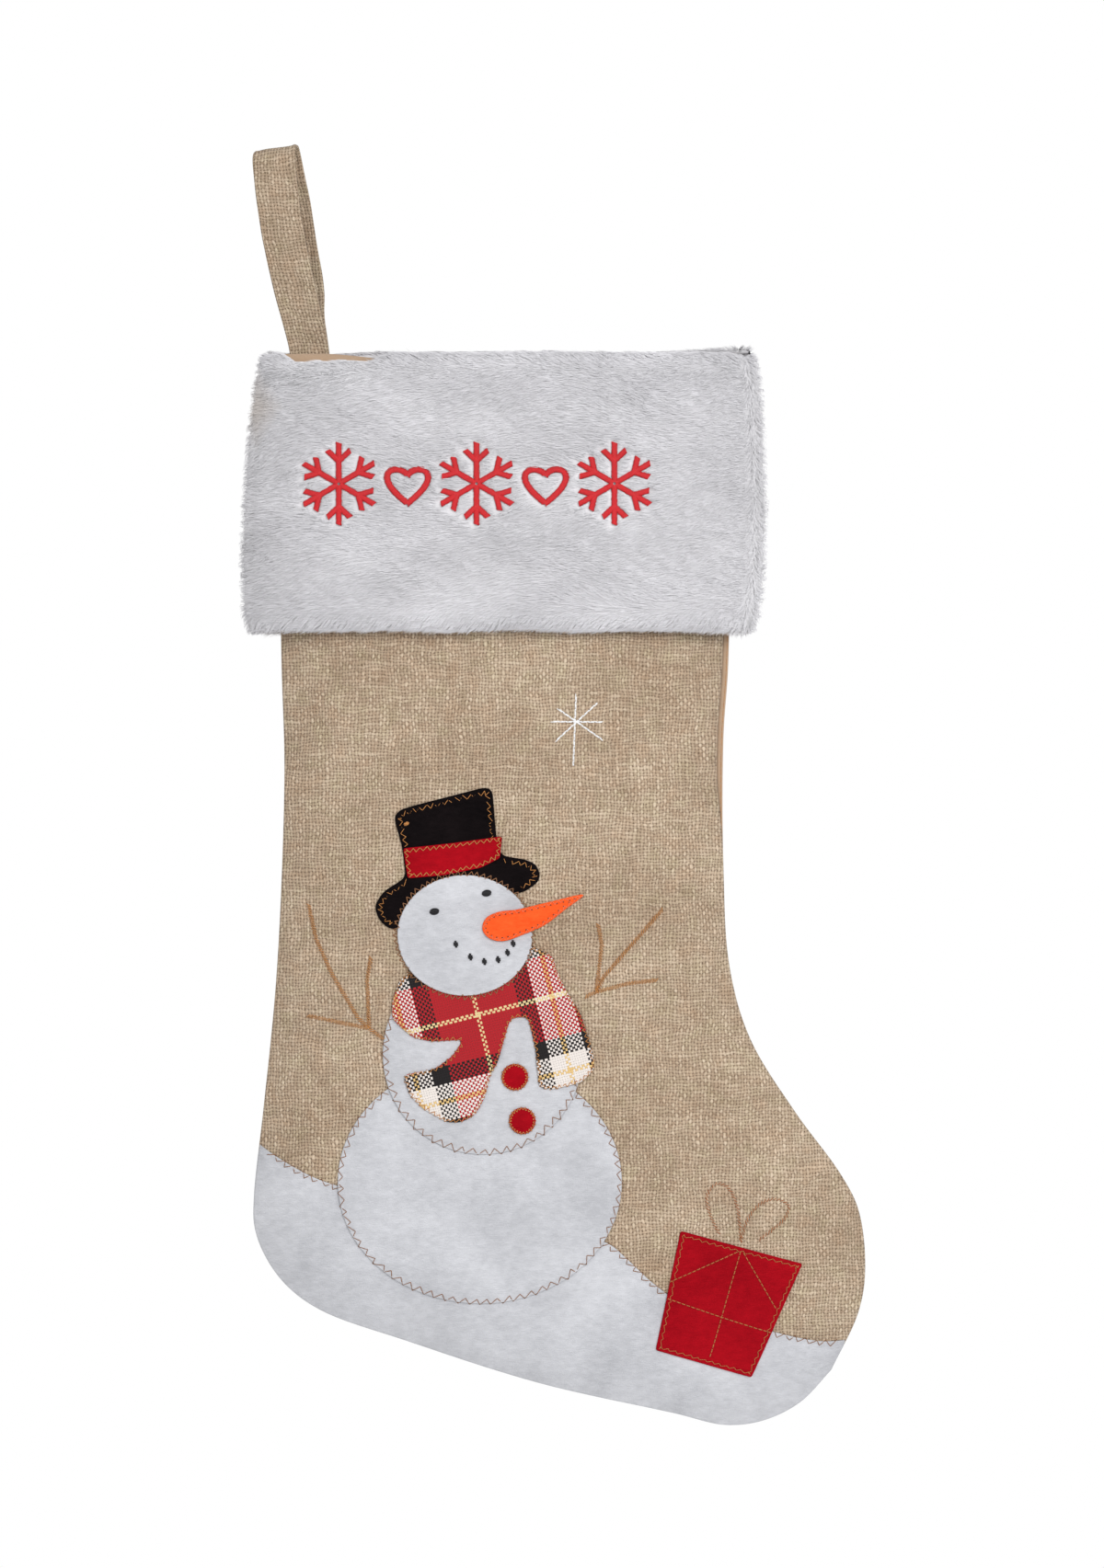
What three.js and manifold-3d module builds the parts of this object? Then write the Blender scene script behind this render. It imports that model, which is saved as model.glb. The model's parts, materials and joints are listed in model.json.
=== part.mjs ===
// Hanging felt-applique stocking, in millimetres.
// +Z is up, the decorated front faces -Y, and +X is to the right seen from the front.
// The origin is the point inside the top fold of the loop, where a hook carries the stocking.
import * as THREE from 'three';
import { mergeVertices } from 'three/addons/utils/BufferGeometryUtils.js';
import Module from 'manifold-3d';

const wasm = await Module();
wasm.setup();

// Driving dimensions
const SEAM_Y = 1.1;            // plane of the side seam; it puts the hook over the centre of mass
const RIM_Z = -82.5;           // top of the cuff
const PANEL_TOP_Z = -86.0;     // cut top edge of the panels, inside the turned rim
const CUFF_BOTTOM_Z = -201.5;
const FRONT_DEPTH = 14;        // how far the pouch stands in front of its seam
const BACK_DEPTH = 13;         // and behind it
const EDGE_FALLOFF = 48;       // distance over which the pouch rounds off to its seam
const CUFF_DEPTH = 26;         // plush surface from the seam plane
const CUFF_FALLOFF = 52;
const SEAM_HALF_GAP = 0.55;    // half the room between the panels where they are sewn
const CLEARANCE = 0.3;         // gap between touching pieces
const PANEL_THICKNESS = 1.0;
const INTERLINING_THICKNESS = 0.6;
const FELT_THICKNESS = 1.2;
const THREAD_THICKNESS = 0.7;
const THREAD_WIDTH = 1.6;        // a row of satin stitches
const FINE_THREAD_WIDTH = 1.2;   // a row of running stitches
const SNOWFLAKE_THREAD_WIDTH = 0.9;
const CUFF_THREAD_WIDTH = 2;
const COVER_GAP = 1.3 * CLEARANCE;   // from a trimmed felt piece to the one that covers it
const THREAD_END_GAP = 0.4;      // from the end of a stitched line to the felt it stops at
const STRAP_WIDTH = 19;
const STRAP_THICKNESS = 1.3;
const LOOP_GAP = 10;           // room between the two legs of the loop
const HINGE_Z = -81.9;         // where the loop bends over the mouth, in the middle of its strap
const HINGE_ROOM = 1.1;        // half the gap there between the loop and its sewn-in tab
const LOOP_LEAN = 13.5;        // sideways lean of the loop from its top to its root
const TAB_BOTTOM_Z = -112;
const ROWS = 30;               // steps from the mouth to the toe
const COLUMNS = 12;            // steps from the heel side to the instep side

// Materials

function cloth(name, colour, roughness) {
  const material = new THREE.MeshStandardMaterial({ color: colour, roughness, metalness: 0 });
  material.name = name;
  return material;
}

const hessian = cloth('hessian', 0xb9a48a, 0.95);
const suedette = cloth('suedette', 0xb0957e, 0.9);
const interliningWhite = cloth('interlining', 0xe6e3dc, 0.95);
const plush = cloth('plush', 0xe9e9ec, 1.0);
const whiteFelt = cloth('white_felt', 0xdcdde2, 0.98);
const blackFelt = cloth('black_felt', 0x15110f, 0.98);
const redFelt = cloth('red_felt', 0xa51f26, 0.97);
const orangeFelt = cloth('orange_felt', 0xf26a39, 0.97);
const plaid = cloth('plaid', 0x982529, 0.95);
const tanThread = cloth('tan_thread', 0xb08040, 0.6);
const blackThread = cloth('black_thread', 0x141214, 0.6);
const whiteThread = cloth('white_thread', 0xf2f2f2, 0.5);
const redThread = cloth('red_thread', 0xc8282c, 0.5);

// Solids

function solidFrom(geometry) {
  const bare = new THREE.BufferGeometry();
  bare.setAttribute('position', geometry.getAttribute('position').clone());
  if (geometry.index) bare.setIndex(geometry.index.clone());
  const merged = mergeVertices(bare, 1e-5);
  const index = merged.index.array;
  const kept = [];
  for (let i = 0; i < index.length; i += 3) {
    const [a, b, c] = [index[i], index[i + 1], index[i + 2]];
    if (a !== b && b !== c && c !== a) kept.push(a, b, c);
  }
  return new wasm.Manifold(new wasm.Mesh({
    numProp: 3,
    vertProperties: Float32Array.from(merged.getAttribute('position').array),
    triVerts: Uint32Array.from(kept),
  }));
}

function geometryFrom(solid) {
  const mesh = solid.getMesh();
  const geometry = new THREE.BufferGeometry();
  const corners = mesh.vertProperties.slice(0, mesh.numVert * 3);
  geometry.setAttribute('position', new THREE.BufferAttribute(corners, 3));
  geometry.setIndex(new THREE.BufferAttribute(mesh.triVerts.slice(), 1));
  geometry.computeVertexNormals();
  return geometry;
}

function largestPiece(solid) {
  const pieces = solid.decompose();
  return pieces.reduce((best, piece) => (piece.volume() > best.volume() ? piece : best));
}

function joined(solids) {
  return solids.reduce((sum, solid) => sum.add(solid));
}

// A closed layer over a net of (x, z) places, between y = low and y = high.
function layer(net, low, high) {
  const rows = net.length - 1;
  const columns = net[0].length - 1;
  const corners = [];
  for (const side of [low, high]) {
    for (const row of net) {
      for (const place of row) corners.push(place.x, side(place), place.z);
    }
  }
  const at = (side, i, j) => side * (rows + 1) * (columns + 1) + i * (columns + 1) + j;
  const faces = [];
  const quad = (a, b, c, d) => faces.push(a, b, c, a, c, d);
  for (let i = 0; i < rows; i += 1) {
    for (let j = 0; j < columns; j += 1) {
      quad(at(0, i, j), at(0, i + 1, j), at(0, i + 1, j + 1), at(0, i, j + 1));
      faces.push(at(1, i, j), at(1, i + 1, j + 1), at(1, i + 1, j));
      faces.push(at(1, i, j), at(1, i, j + 1), at(1, i + 1, j + 1));
    }
  }
  for (let i = 0; i < rows; i += 1) {
    quad(at(0, i, 0), at(1, i, 0), at(1, i + 1, 0), at(0, i + 1, 0));
    quad(at(0, i, columns), at(0, i + 1, columns), at(1, i + 1, columns), at(1, i, columns));
  }
  for (let j = 0; j < columns; j += 1) {
    quad(at(0, 0, j), at(0, 0, j + 1), at(1, 0, j + 1), at(1, 0, j));
    quad(at(0, rows, j), at(1, rows, j), at(1, rows, j + 1), at(0, rows, j + 1));
  }
  const geometry = new THREE.BufferGeometry();
  geometry.setAttribute('position', new THREE.Float32BufferAttribute(corners, 3));
  geometry.setIndex(faces);
  return solidFrom(geometry);
}

// A shape drawn in x and z, made into a prism that runs through the whole depth.
function prism(shape, curveSegments = 10) {
  const reach = 90;   // further than any surface stands from the origin in depth
  const geometry = new THREE.ExtrudeGeometry(shape, {
    depth: 2 * reach,
    bevelEnabled: false,
    curveSegments,
  });
  geometry.rotateX(Math.PI / 2);
  geometry.translate(0, reach, 0);
  return solidFrom(geometry);
}

function flatPlate(shape, lowY, highY) {
  const geometry = new THREE.ExtrudeGeometry(shape, { depth: highY - lowY, bevelEnabled: false });
  geometry.rotateX(Math.PI / 2);
  geometry.translate(0, highY, 0);
  return solidFrom(geometry);
}

function polygon(points) {
  return new THREE.Shape(points.map(([x, z]) => new THREE.Vector2(x, z)));
}

// A closed outline that passes smoothly through its points.
function blob(points, steps) {
  const spaced = points.map(([x, z]) => new THREE.Vector3(x, z, 0));
  const curve = new THREE.CatmullRomCurve3(spaced, true, 'centripetal');
  return new THREE.Shape(curve.getPoints(steps).slice(0, -1));
}

function ellipse([x, z], radiusX, radiusZ) {
  const shape = new THREE.Shape();
  shape.absellipse(x, z, radiusX, radiusZ, 0, 2 * Math.PI);
  return shape;
}

// One satin-stitched line: a strip of thread with bevelled ends along a few points.
function threadLine(points, width = THREAD_WIDTH) {
  const half = width / 2;
  const strips = points.slice(1).map(([x, z], i) => {
    const [fromX, fromZ] = points[i];
    const length = Math.hypot(x - fromX, z - fromZ);
    const [ux, uz] = [(x - fromX) / length, (z - fromZ) / length];
    const corner = (along, across) => [
      fromX + ux * along - uz * across,
      fromZ + uz * along + ux * across,
    ];
    return prism(polygon([
      corner(-half, 0),
      corner(0, -half),
      corner(length, -half),
      corner(length + half, 0),
      corner(length, half),
      corner(0, half),
    ]));
  });
  return joined(strips);
}

// The pouch: two edges that run from the mouth to the toe, and a net between them.

const edgeCurve = (points) => new THREE.CatmullRomCurve3(
  points.map(([x, z]) => new THREE.Vector3(x, 0, z)),
  false,
  'centripetal',
);

const TOE = [232, -510];

const heelEdge = edgeCurve([
  [0.5, PANEL_TOP_Z], [1, -150], [2, -215], [3.2, -255], [2.2, -300], [-0.5, -350],
  [-5.5, -400], [-9.5, -437], [-9.3, -450], [-5, -462], [4, -474.5], [18.5, -485],
  [55, -498], [110, -515.5], [166, -528], [188, -533], [204, -531], [219, -523.5], TOE,
]);

const instepEdge = edgeCurve([
  [190, PANEL_TOP_Z], [190, -150], [189, -215], [187, -245], [187, -300], [189.5, -341],
  [198, -371], [217, -402], [236, -428], [243.5, -443], [246.3, -468], [243.4, -486], TOE,
]);

// Columns crowd towards both edges, where the pouch curves most, and rows towards the toe.
const crowded = (fraction) => (1 - Math.cos(Math.PI * fraction)) / 2;
const towardsToe = (fraction) => 1 - (1 - fraction) ** 1.25;

function pouchNet(grow = 0) {
  const net = [];
  for (let i = 0; i <= ROWS; i += 1) {
    const down = towardsToe(i / ROWS);
    const left = heelEdge.getPointAt(down);
    const right = instepEdge.getPointAt(down);
    const width = left.distanceTo(right);
    const row = [];
    for (let j = 0; j <= COLUMNS; j += 1) {
      const across = crowded(j / COLUMNS);
      const place = left.clone().lerp(right, across);
      const spread = grow * (2 * across - 1);
      row.push({
        x: place.x + spread,
        z: place.z,
        fromEdge: Math.min(across, 1 - across) * width,
      });
    }
    net.push(row);
  }
  return net;
}

const rounded = (distance, falloff) => 1 - (1 - Math.min(1, distance / falloff)) ** 2;

const frontFace = (offset) => (place) => (
  SEAM_Y - SEAM_HALF_GAP - FRONT_DEPTH * rounded(place.fromEdge, EDGE_FALLOFF) - offset
);

const backFace = (offset) => (place) => (
  SEAM_Y + SEAM_HALF_GAP + BACK_DEPTH * rounded(place.fromEdge, EDGE_FALLOFF) + offset
);

const net = pouchNet();
const PANEL_OUTSIDE = PANEL_THICKNESS;
const FELT_INSIDE = PANEL_OUTSIDE + CLEARANCE;
const FELT_OUTSIDE = FELT_INSIDE + FELT_THICKNESS;
const TOP_INSIDE = FELT_OUTSIDE + CLEARANCE;

const panelFront = layer(net, frontFace(PANEL_OUTSIDE), frontFace(0));
const panelBack = layer(net, backFace(0), backFace(PANEL_OUTSIDE));
const feltLayer = layer(net, frontFace(FELT_OUTSIDE), frontFace(FELT_INSIDE));
const threadOnPanel = layer(net, frontFace(FELT_INSIDE + THREAD_THICKNESS), frontFace(FELT_INSIDE));
const threadOnFelt = layer(net, frontFace(TOP_INSIDE + THREAD_THICKNESS), frontFace(TOP_INSIDE));
const feltOnFelt = layer(net, frontFace(TOP_INSIDE + FELT_THICKNESS), frontFace(TOP_INSIDE));

// The seam outline, moved inwards by a given distance.
function insetOutline(inset, topZ) {
  const steps = 36;   // along each of the two edges
  const inside = (curve, side) => {
    const moved = [];
    for (let i = 0; i < steps; i += 1) {
      const place = curve.getPointAt(towardsToe(i / steps));
      const run = curve.getTangentAt(towardsToe(i / steps));
      moved.push([place.x - side * run.z * inset, Math.min(topZ, place.z + side * run.x * inset)]);
    }
    return moved;
  };
  return [...inside(heelEdge, 1), ...inside(instepEdge, -1).reverse()];
}

const INTERLINING_INSET = 4;     // from the seam, so that it stays out of the stitching
const INTERLINING_TOP_Z = PANEL_TOP_Z - 10;

function makeInterlining() {
  const liningLayer = layer(
    net,
    frontFace(-CLEARANCE),
    frontFace(-CLEARANCE - INTERLINING_THICKNESS),
  );
  return liningLayer.intersect(prism(polygon(insetOutline(INTERLINING_INSET, INTERLINING_TOP_Z))));
}

// Lockstitch between the panels, from one end of the mouth round the toe to the other.
const STITCH_INSET = 0.6;        // from the edge of the panels
const STITCH_WIDTH = 2;
const STITCH_LEFT = 4;           // what lies between these two, across the mouth, stays open
const STITCH_RIGHT = 186;

function makePerimeterStitching() {
  const outer = prism(polygon(insetOutline(STITCH_INSET, PANEL_TOP_Z - 1)));
  const inner = prism(polygon(insetOutline(STITCH_INSET + STITCH_WIDTH, PANEL_TOP_Z + 1)));
  const band = layer(
    net,
    () => SEAM_Y - (SEAM_HALF_GAP - CLEARANCE),
    () => SEAM_Y + (SEAM_HALF_GAP - CLEARANCE),
  );
  const [above, below] = [PANEL_TOP_Z + 2, PANEL_TOP_Z - 6];
  const acrossTheMouth = prism(polygon([
    [STITCH_LEFT, above], [STITCH_RIGHT, above], [STITCH_RIGHT, below], [STITCH_LEFT, below],
  ]));
  return largestPiece(band.intersect(outer).subtract(inner).subtract(acrossTheMouth));
}

// The cuff

const CUFF_ROWS = [
  // z, left edge, right edge, how much the plush tucks in
  [RIM_Z, -4.5, 198, 0.3],
  [-84.5, -7.2, 200.8, 0.08],
  [-88, -8.3, 202, 0],
  [-98, -10, 203.5, 0],
  [-122, -13, 204.8, 0],
  [-150, -14.8, 205.5, 0],
  [-175, -15.5, 205, 0],
  [-193, -14.8, 203, 0],
  [-199.5, -12.5, 200, 0.08],
  [CUFF_BOTTOM_Z, -9.5, 197, 0.3],
];

const CUFF_COLUMNS = 20;

const cuffNet = CUFF_ROWS.map(([z, left, right, tuck]) => {
  const row = [];
  for (let j = 0; j <= CUFF_COLUMNS; j += 1) {
    const across = crowded(j / CUFF_COLUMNS);
    row.push({
      x: left + (right - left) * across,
      z,
      fromEdge: Math.min(across, 1 - across) * (right - left),
      tuck,
    });
  }
  return row;
});

const CUFF_EDGE_DEPTH = 3;       // of the plush where its two halves meet

const cuffDepth = (place) => (
  CUFF_EDGE_DEPTH
  + (CUFF_DEPTH - CUFF_EDGE_DEPTH) * rounded(place.fromEdge, CUFF_FALLOFF) * (1 - place.tuck)
);

const cuffSurface = (side, offset) => (place) => SEAM_Y + side * (cuffDepth(place) + offset);

// What the cuff is hollowed by: the pouch itself, and the mouth above its cut edge.
const PANEL_CLEARANCE = PANEL_OUTSIDE + CLEARANCE;
const CUFF_SIDE_ROOM = 1.2;      // between the pouch's edge and the cuff's lining
const pouchVolume = layer(
  pouchNet(CUFF_SIDE_ROOM),
  frontFace(PANEL_CLEARANCE),
  backFace(PANEL_CLEARANCE),
);

const MOUTH_LEFT = 3;
const MOUTH_RIGHT = 187.5;

function makeMouthVolume() {
  const heights = [RIM_Z + 4, PANEL_TOP_Z - 1];
  const mouthNet = heights.map((z) => {
    const row = [];
    for (let j = 0; j <= COLUMNS; j += 1) {
      const across = crowded(j / COLUMNS);
      const x = MOUTH_LEFT + (MOUTH_RIGHT - MOUTH_LEFT) * across;
      row.push({ x, z, fromEdge: Math.min(x, MOUTH_LEFT + MOUTH_RIGHT - x) });
    }
    return row;
  });
  return layer(mouthNet, frontFace(CLEARANCE), backFace(CLEARANCE));
}

// Room under the turned rim for the cut edges of the panels.
const mouthVolume = makeMouthVolume();
const rimGroove = pouchVolume.translate([0, 0, CLEARANCE]);

function makeCuffHalf(side) {
  const split = () => SEAM_Y + side * SEAM_HALF_GAP;
  const outside = cuffSurface(side, 0);
  const block = side < 0 ? layer(cuffNet, outside, split) : layer(cuffNet, split, outside);
  return largestPiece(block.subtract(rimGroove).subtract(pouchVolume).subtract(mouthVolume));
}

const CUFF_SEAM_WIDTH = 4;
const CUFF_SEAM_LEFT_X = -7;
const CUFF_SEAM_RIGHT_X = 194;

function makeCuffSeam(innerX) {
  const outerX = innerX + CUFF_SEAM_WIDTH;
  const low = SEAM_Y - (SEAM_HALF_GAP - CLEARANCE);
  const high = SEAM_Y + (SEAM_HALF_GAP - CLEARANCE);
  return flatPlate(polygon([
    [innerX, PANEL_TOP_Z - 2], [outerX, PANEL_TOP_Z - 2],
    [outerX, CUFF_BOTTOM_Z + 4], [innerX, CUFF_BOTTOM_Z + 4],
  ]), low, high);
}

// The loop

const LOOP_BOTTOM_Z = HINGE_Z + HINGE_ROOM;
const TAB_FRONT_Y = SEAM_Y + 0.6;
const TAB_BACK_Y = TAB_FRONT_Y + 2;   // two layers of the strap
const TAB_WIDTH = 16.5;
const TAB_LEAN = 0.6;                 // how far the tab's end lies to the right of its top
const TAB_LEFT_X = LOOP_LEAN - TAB_WIDTH / 2;

// The strap seen from the side: two legs that open towards the hook and close at the root.
// The inside of the fold is flat for a short way at the origin.
function strapOutline(grow, rootHalf, bottomZ) {
  const rootY = (TAB_FRONT_Y + TAB_BACK_Y) / 2;
  const half = LOOP_GAP / 2;
  const backLeg = [
    [0.45 * half + 0.4 * grow, grow],
    [0.85 * half + 0.8 * grow, -0.5 * half + 0.6 * grow],
    [half + grow, -1.6 * half],
    [0.95 * half + grow, -30],
    [0.6 * rootY + 0.55 * half + grow, -52],
    [rootY + rootHalf, bottomZ + 8],
    [rootY + rootHalf, bottomZ],
  ];
  const frontLeg = [
    [rootY - rootHalf, bottomZ],
    [rootY - rootHalf, bottomZ + 8],
    [0.6 * rootY - 0.55 * half - grow, -52],
    [-0.95 * half - grow, -30],
    [-half - grow, -1.6 * half],
    [-0.85 * half - 0.8 * grow, -0.5 * half + 0.6 * grow],
    [-0.45 * half - 0.4 * grow, grow],
  ];
  const smooth = (points) => new THREE.CatmullRomCurve3(
    points.map(([y, z]) => new THREE.Vector3(y, z, 0)),
    false,
    'centripetal',
  ).getPoints(18);
  return new THREE.Shape([...smooth(backLeg), ...smooth(frontLeg)]);
}

// Extrudes a side outline along X, with the strap's lean and its taper towards the root.
function strapSolid(outline, widthScale) {
  const geometry = new THREE.ExtrudeGeometry(outline, { depth: 1, bevelEnabled: false });
  const position = geometry.getAttribute('position');
  for (let i = 0; i < position.count; i += 1) {
    const y = position.getX(i);
    const z = position.getY(i);
    const across = (position.getZ(i) - 0.5) * widthScale;
    const down = Math.max(0, z / LOOP_BOTTOM_Z);
    const width = STRAP_WIDTH - (STRAP_WIDTH - TAB_WIDTH) * down ** 4;
    const lean = LOOP_LEAN * (0.75 * down + 0.25 * down ** 2);
    position.setXYZ(i, lean + across * width, y, z);
  }
  return solidFrom(geometry);
}

function makeHangingLoop() {
  const outside = strapSolid(strapOutline(STRAP_THICKNESS, 1, LOOP_BOTTOM_Z), 1);
  const inside = strapSolid(strapOutline(0, 0.2, LOOP_BOTTOM_Z + 7), 1.5);
  return largestPiece(outside.subtract(inside));
}

function makeLoopTab() {
  const right = TAB_LEFT_X + TAB_WIDTH;
  return flatPlate(polygon([
    [TAB_LEFT_X, HINGE_Z - HINGE_ROOM], [right, HINGE_Z - HINGE_ROOM],
    [right + TAB_LEAN, TAB_BOTTOM_Z], [TAB_LEFT_X + TAB_LEAN, TAB_BOTTOM_Z],
  ]), TAB_FRONT_Y, TAB_BACK_Y);
}

// A sewn square with a cross in it, on the face of the tab.
const BARTACK_INSET = 2.5;            // from each side of the tab, about its leaning middle
const BARTACK_HEIGHT = 12;
const BARTACK_THICKNESS = 0.5;

function makeLoopBartack() {
  const left = TAB_LEFT_X + 0.5 + BARTACK_INSET;
  const right = TAB_LEFT_X + 0.5 + TAB_WIDTH - BARTACK_INSET;
  const low = TAB_BOTTOM_Z + 3;
  const high = low + BARTACK_HEIGHT;
  const square = [[left, low], [right, low], [right, high], [left, high], [left, low]];
  const lines = joined([
    threadLine(square, FINE_THREAD_WIDTH),
    threadLine([[left, low], [right, high]], FINE_THREAD_WIDTH),
    threadLine([[left, high], [right, low]], FINE_THREAD_WIDTH),
  ]);
  const around = 4;
  const face = flatPlate(
    polygon([
      [left - around, low - around], [right + around, low - around],
      [right + around, high + around], [left - around, high + around],
    ]),
    TAB_FRONT_Y - CLEARANCE - BARTACK_THICKNESS,
    TAB_FRONT_Y - CLEARANCE,
  );
  return face.intersect(lines);
}

// Outlines of the felt pieces

const headOutline = () => ellipse([79, -327.5], 28, 25);
const middleOutline = () => ellipse([86.4, -377], 41.5, 41.5);
const baseOutline = () => ellipse([85.2, -430], 59, 50.7);

const hatOutline = () => polygon([
  [49.5, -278.5], [52, -275.5], [56.5, -274], [72, -270], [87.5, -266], [90.5, -267.5],
  [92, -286], [94, -294.5], [104, -296], [108.5, -298], [110.3, -302], [109.5, -305.5],
  [104, -309.5], [92, -312], [75, -314], [60, -318], [52.5, -324], [48, -325.2],
  [43.5, -321.5], [41.3, -315.5], [45, -309.5], [54.5, -303.5], [53, -291],
]);

const bandOutline = () => polygon([
  [53.4, -291.4], [74, -289.2], [94.5, -286.4], [93.6, -295.5],
  [85.6, -299.5], [70, -302.6], [55.3, -303.9],
]);

const noseOutline = () => blob([
  [128.3, -310.8], [114, -313.7], [100.6, -316.8], [92.5, -317.9], [87.6, -320.6],
  [86.3, -325], [89, -328.6], [94.6, -329.9], [103, -327.3], [112, -323.4], [121, -316.6],
], 30);

const scarfOutline = () => polygon([
  [52, -346], [48.8, -355], [48.8, -362], [52.2, -365.5], [57.6, -370], [65, -371.6],
  [78.3, -370.9], [74.1, -377.4], [66.8, -382.8], [53.4, -385.5], [56, -393.5],
  [61.5, -399.3], [71.4, -405], [77.2, -405.2], [83.3, -402], [87.2, -395],
  [89.8, -384.7], [92.5, -380.9], [97.1, -364.7], [98.5, -361.9], [103.7, -361.3],
  [105.6, -362.8], [108.3, -374.7], [109.8, -390.5], [114.8, -391.6], [127.5, -388.6],
  [133.2, -382.6], [132.1, -376.3], [127.5, -361], [121.7, -351.7], [117.1, -342.5],
  [115.6, -336.3], [109.8, -333.3], [100, -330], [70, -335],
]);

// The far corners lie outside the pouch, which trims the snow along its seam.
const snowOutline = () => polygon([
  [-30, -404], [-7, -415.5], [0, -420], [14, -427.4], [25.7, -431.6], [60, -440],
  [110, -448], [138.2, -455.4], [146.3, -462], [157.4, -472.3], [172, -482],
  [207.7, -492.6], [216.6, -495], [228, -497.2], [270, -497.2], [270, -560], [-30, -560],
]);

const GIFT_CORNERS = [[168.6, -450.4], [219.3, -464.2], [198.1, -511.5], [158.2, -499.9]];
const BUTTON_CENTRES = { upper: [99.8, -386.3], lower: [102.9, -404.4] };
const BUTTON_RADIUS = 5.5;
const EYE_RADII = [1.9, 1.4];
const MOUTH_STITCH_RADII = [0.8, 1.4];
const EYE_CENTRES = { left: [66.4, -317.6], right: [88.1, -310] };
const MOUTH_STITCHES = [
  [75.3, -331.2], [81.4, -336.4], [87.2, -338.3], [92.9, -337.5], [96.8, -334.6], [99.1, -330.9],
];

const grown = (solid, by) => joined([
  solid, solid.translate([by, 0, 0]), solid.translate([-by, 0, 0]),
  solid.translate([0, 0, by]), solid.translate([0, 0, -by]),
]);

// Each felt piece is trimmed where another one lies over it.
const cutters = {
  head: prism(headOutline()),
  middle: prism(middleOutline()),
  base: prism(baseOutline(), 14),
  nose: prism(noseOutline()),
  scarf: prism(scarfOutline()),
  gift: prism(polygon(GIFT_CORNERS)),
};

function felt(outline, ...covers) {
  const uncut = feltLayer.intersect(outline);
  const trim = (rest, cover) => rest.subtract(grown(cover, COVER_GAP));
  return largestPiece(covers.reduce(trim, uncut));
}

// Embroidery on the pouch

const twigLeftLines = () => [
  [[13.8, -315.2], [16.9, -329.1], [23.4, -343.3], [34.6, -362], [39.2, -366.3], [42, -369.2]],
  [[39.9, -337.1], [38.4, -346], [39.2, -366.3]],
  [[13.8, -361.3], [22.3, -362.9], [39.2, -366.3]],
];

const twigRightLines = () => [
  [[160.9, -317.2], [152.8, -326.4], [136.7, -344.8], [133.6, -351], [129.5, -353.4]],
  [[134.4, -323.3], [135.9, -331.8], [133.6, -351]],
  [[158.6, -346.3], [147.5, -347.5], [133.6, -351]],
];

// Cut short of the felt where a line would run under it.
function embroidered(surface, lines, width, ...covers) {
  const thread = surface.intersect(joined(lines.map((line) => threadLine(line, width))));
  const trim = (rest, cover) => rest.subtract(grown(cover, THREAD_END_GAP));
  return largestPiece(covers.reduce(trim, thread));
}

const snowflakeLines = () => [
  [[114.4, -238.8], [136.3, -239]],
  [[117.1, -233.1], [136.3, -246.5]],
  [[116.3, -247.3], [134, -231.1]],
  [[125.2, -227], [124, -257]],
];

const bowLines = () => {
  const loop = (points) => {
    const curve = new THREE.CatmullRomCurve3(points.map(([x, z]) => new THREE.Vector3(x, z, 0)));
    return curve.getPoints(12).map((place) => [place.x, place.y]);
  };
  return [
    loop([[193.6, -454.3], [192, -440], [188.2, -432.4], [183.6, -430.8], [179.7, -435.5],
      [180.5, -442.5], [184.5, -451.5]]),
    loop([[193.6, -454.3], [197, -444.7], [202.4, -438.9], [208.5, -437.4], [213.5, -440],
      [212.4, -444.7], [207.7, -449.3], [201, -454.4]]),
  ];
};

const ribbonLines = () => [
  [[193.6, -458.6], [180.8, -502.5]],
  [[162.8, -478.2], [185.1, -485.9], [206, -492.6]],
  [[192.4, -459], [164, -471.6]],
  [[194.6, -459.2], [208.6, -483.4]],
];

// Embroidery on the cuff: snow crystals and hearts

const CUFF_MOTIF_Z = -140.5;
const CRYSTAL_RADIUS = 17;
const CRYSTAL_FORK = 0.55;       // where an arm forks, as a share of the radius
const CRYSTAL_TIP = 0.86;        // how far out its two short branches reach
const CRYSTAL_SPREAD = 0.33;     // their angle from the arm, in radians about the centre
const CRYSTAL_CENTRES = [[27, CUFF_MOTIF_Z], [84, CUFF_MOTIF_Z], [141, CUFF_MOTIF_Z]];
const HEART_CENTRES = [[55.5, CUFF_MOTIF_Z], [112.5, CUFF_MOTIF_Z]];
const HEART_SIZE = 8.5;

const cuffThread = layer(
  cuffNet,
  cuffSurface(-1, CLEARANCE + THREAD_THICKNESS),
  cuffSurface(-1, CLEARANCE),
);

function crystalLines([x, z]) {
  const lines = [];
  const reach = (radius, angle) => [x + radius * Math.sin(angle), z + radius * Math.cos(angle)];
  for (let arm = 0; arm < 6; arm += 1) {
    const angle = (arm * Math.PI) / 3;
    lines.push([[x, z], reach(CRYSTAL_RADIUS, angle)]);
    const fork = reach(CRYSTAL_FORK * CRYSTAL_RADIUS, angle);
    for (const side of [-1, 1]) {
      const tip = reach(CRYSTAL_TIP * CRYSTAL_RADIUS, angle + side * CRYSTAL_SPREAD);
      lines.push([fork, tip]);
    }
  }
  return lines;
}

function heartLine([x, z]) {
  const points = [];
  const steps = 18;
  for (let step = 0; step <= steps; step += 1) {
    const angle = (step / steps) * 2 * Math.PI;
    const across = Math.sin(angle) ** 3;
    const up = (13 * Math.cos(angle) - 5 * Math.cos(2 * angle) - 2 * Math.cos(3 * angle)) / 16;
    points.push([x + HEART_SIZE * across, z + HEART_SIZE * up]);
  }
  return points;
}

// Assembly

const stocking = new THREE.Group();
stocking.name = 'hanging_stocking';

function add(name, solid, material) {
  const mesh = new THREE.Mesh(geometryFrom(solid), material);
  mesh.name = name;
  stocking.add(mesh);
}

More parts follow.
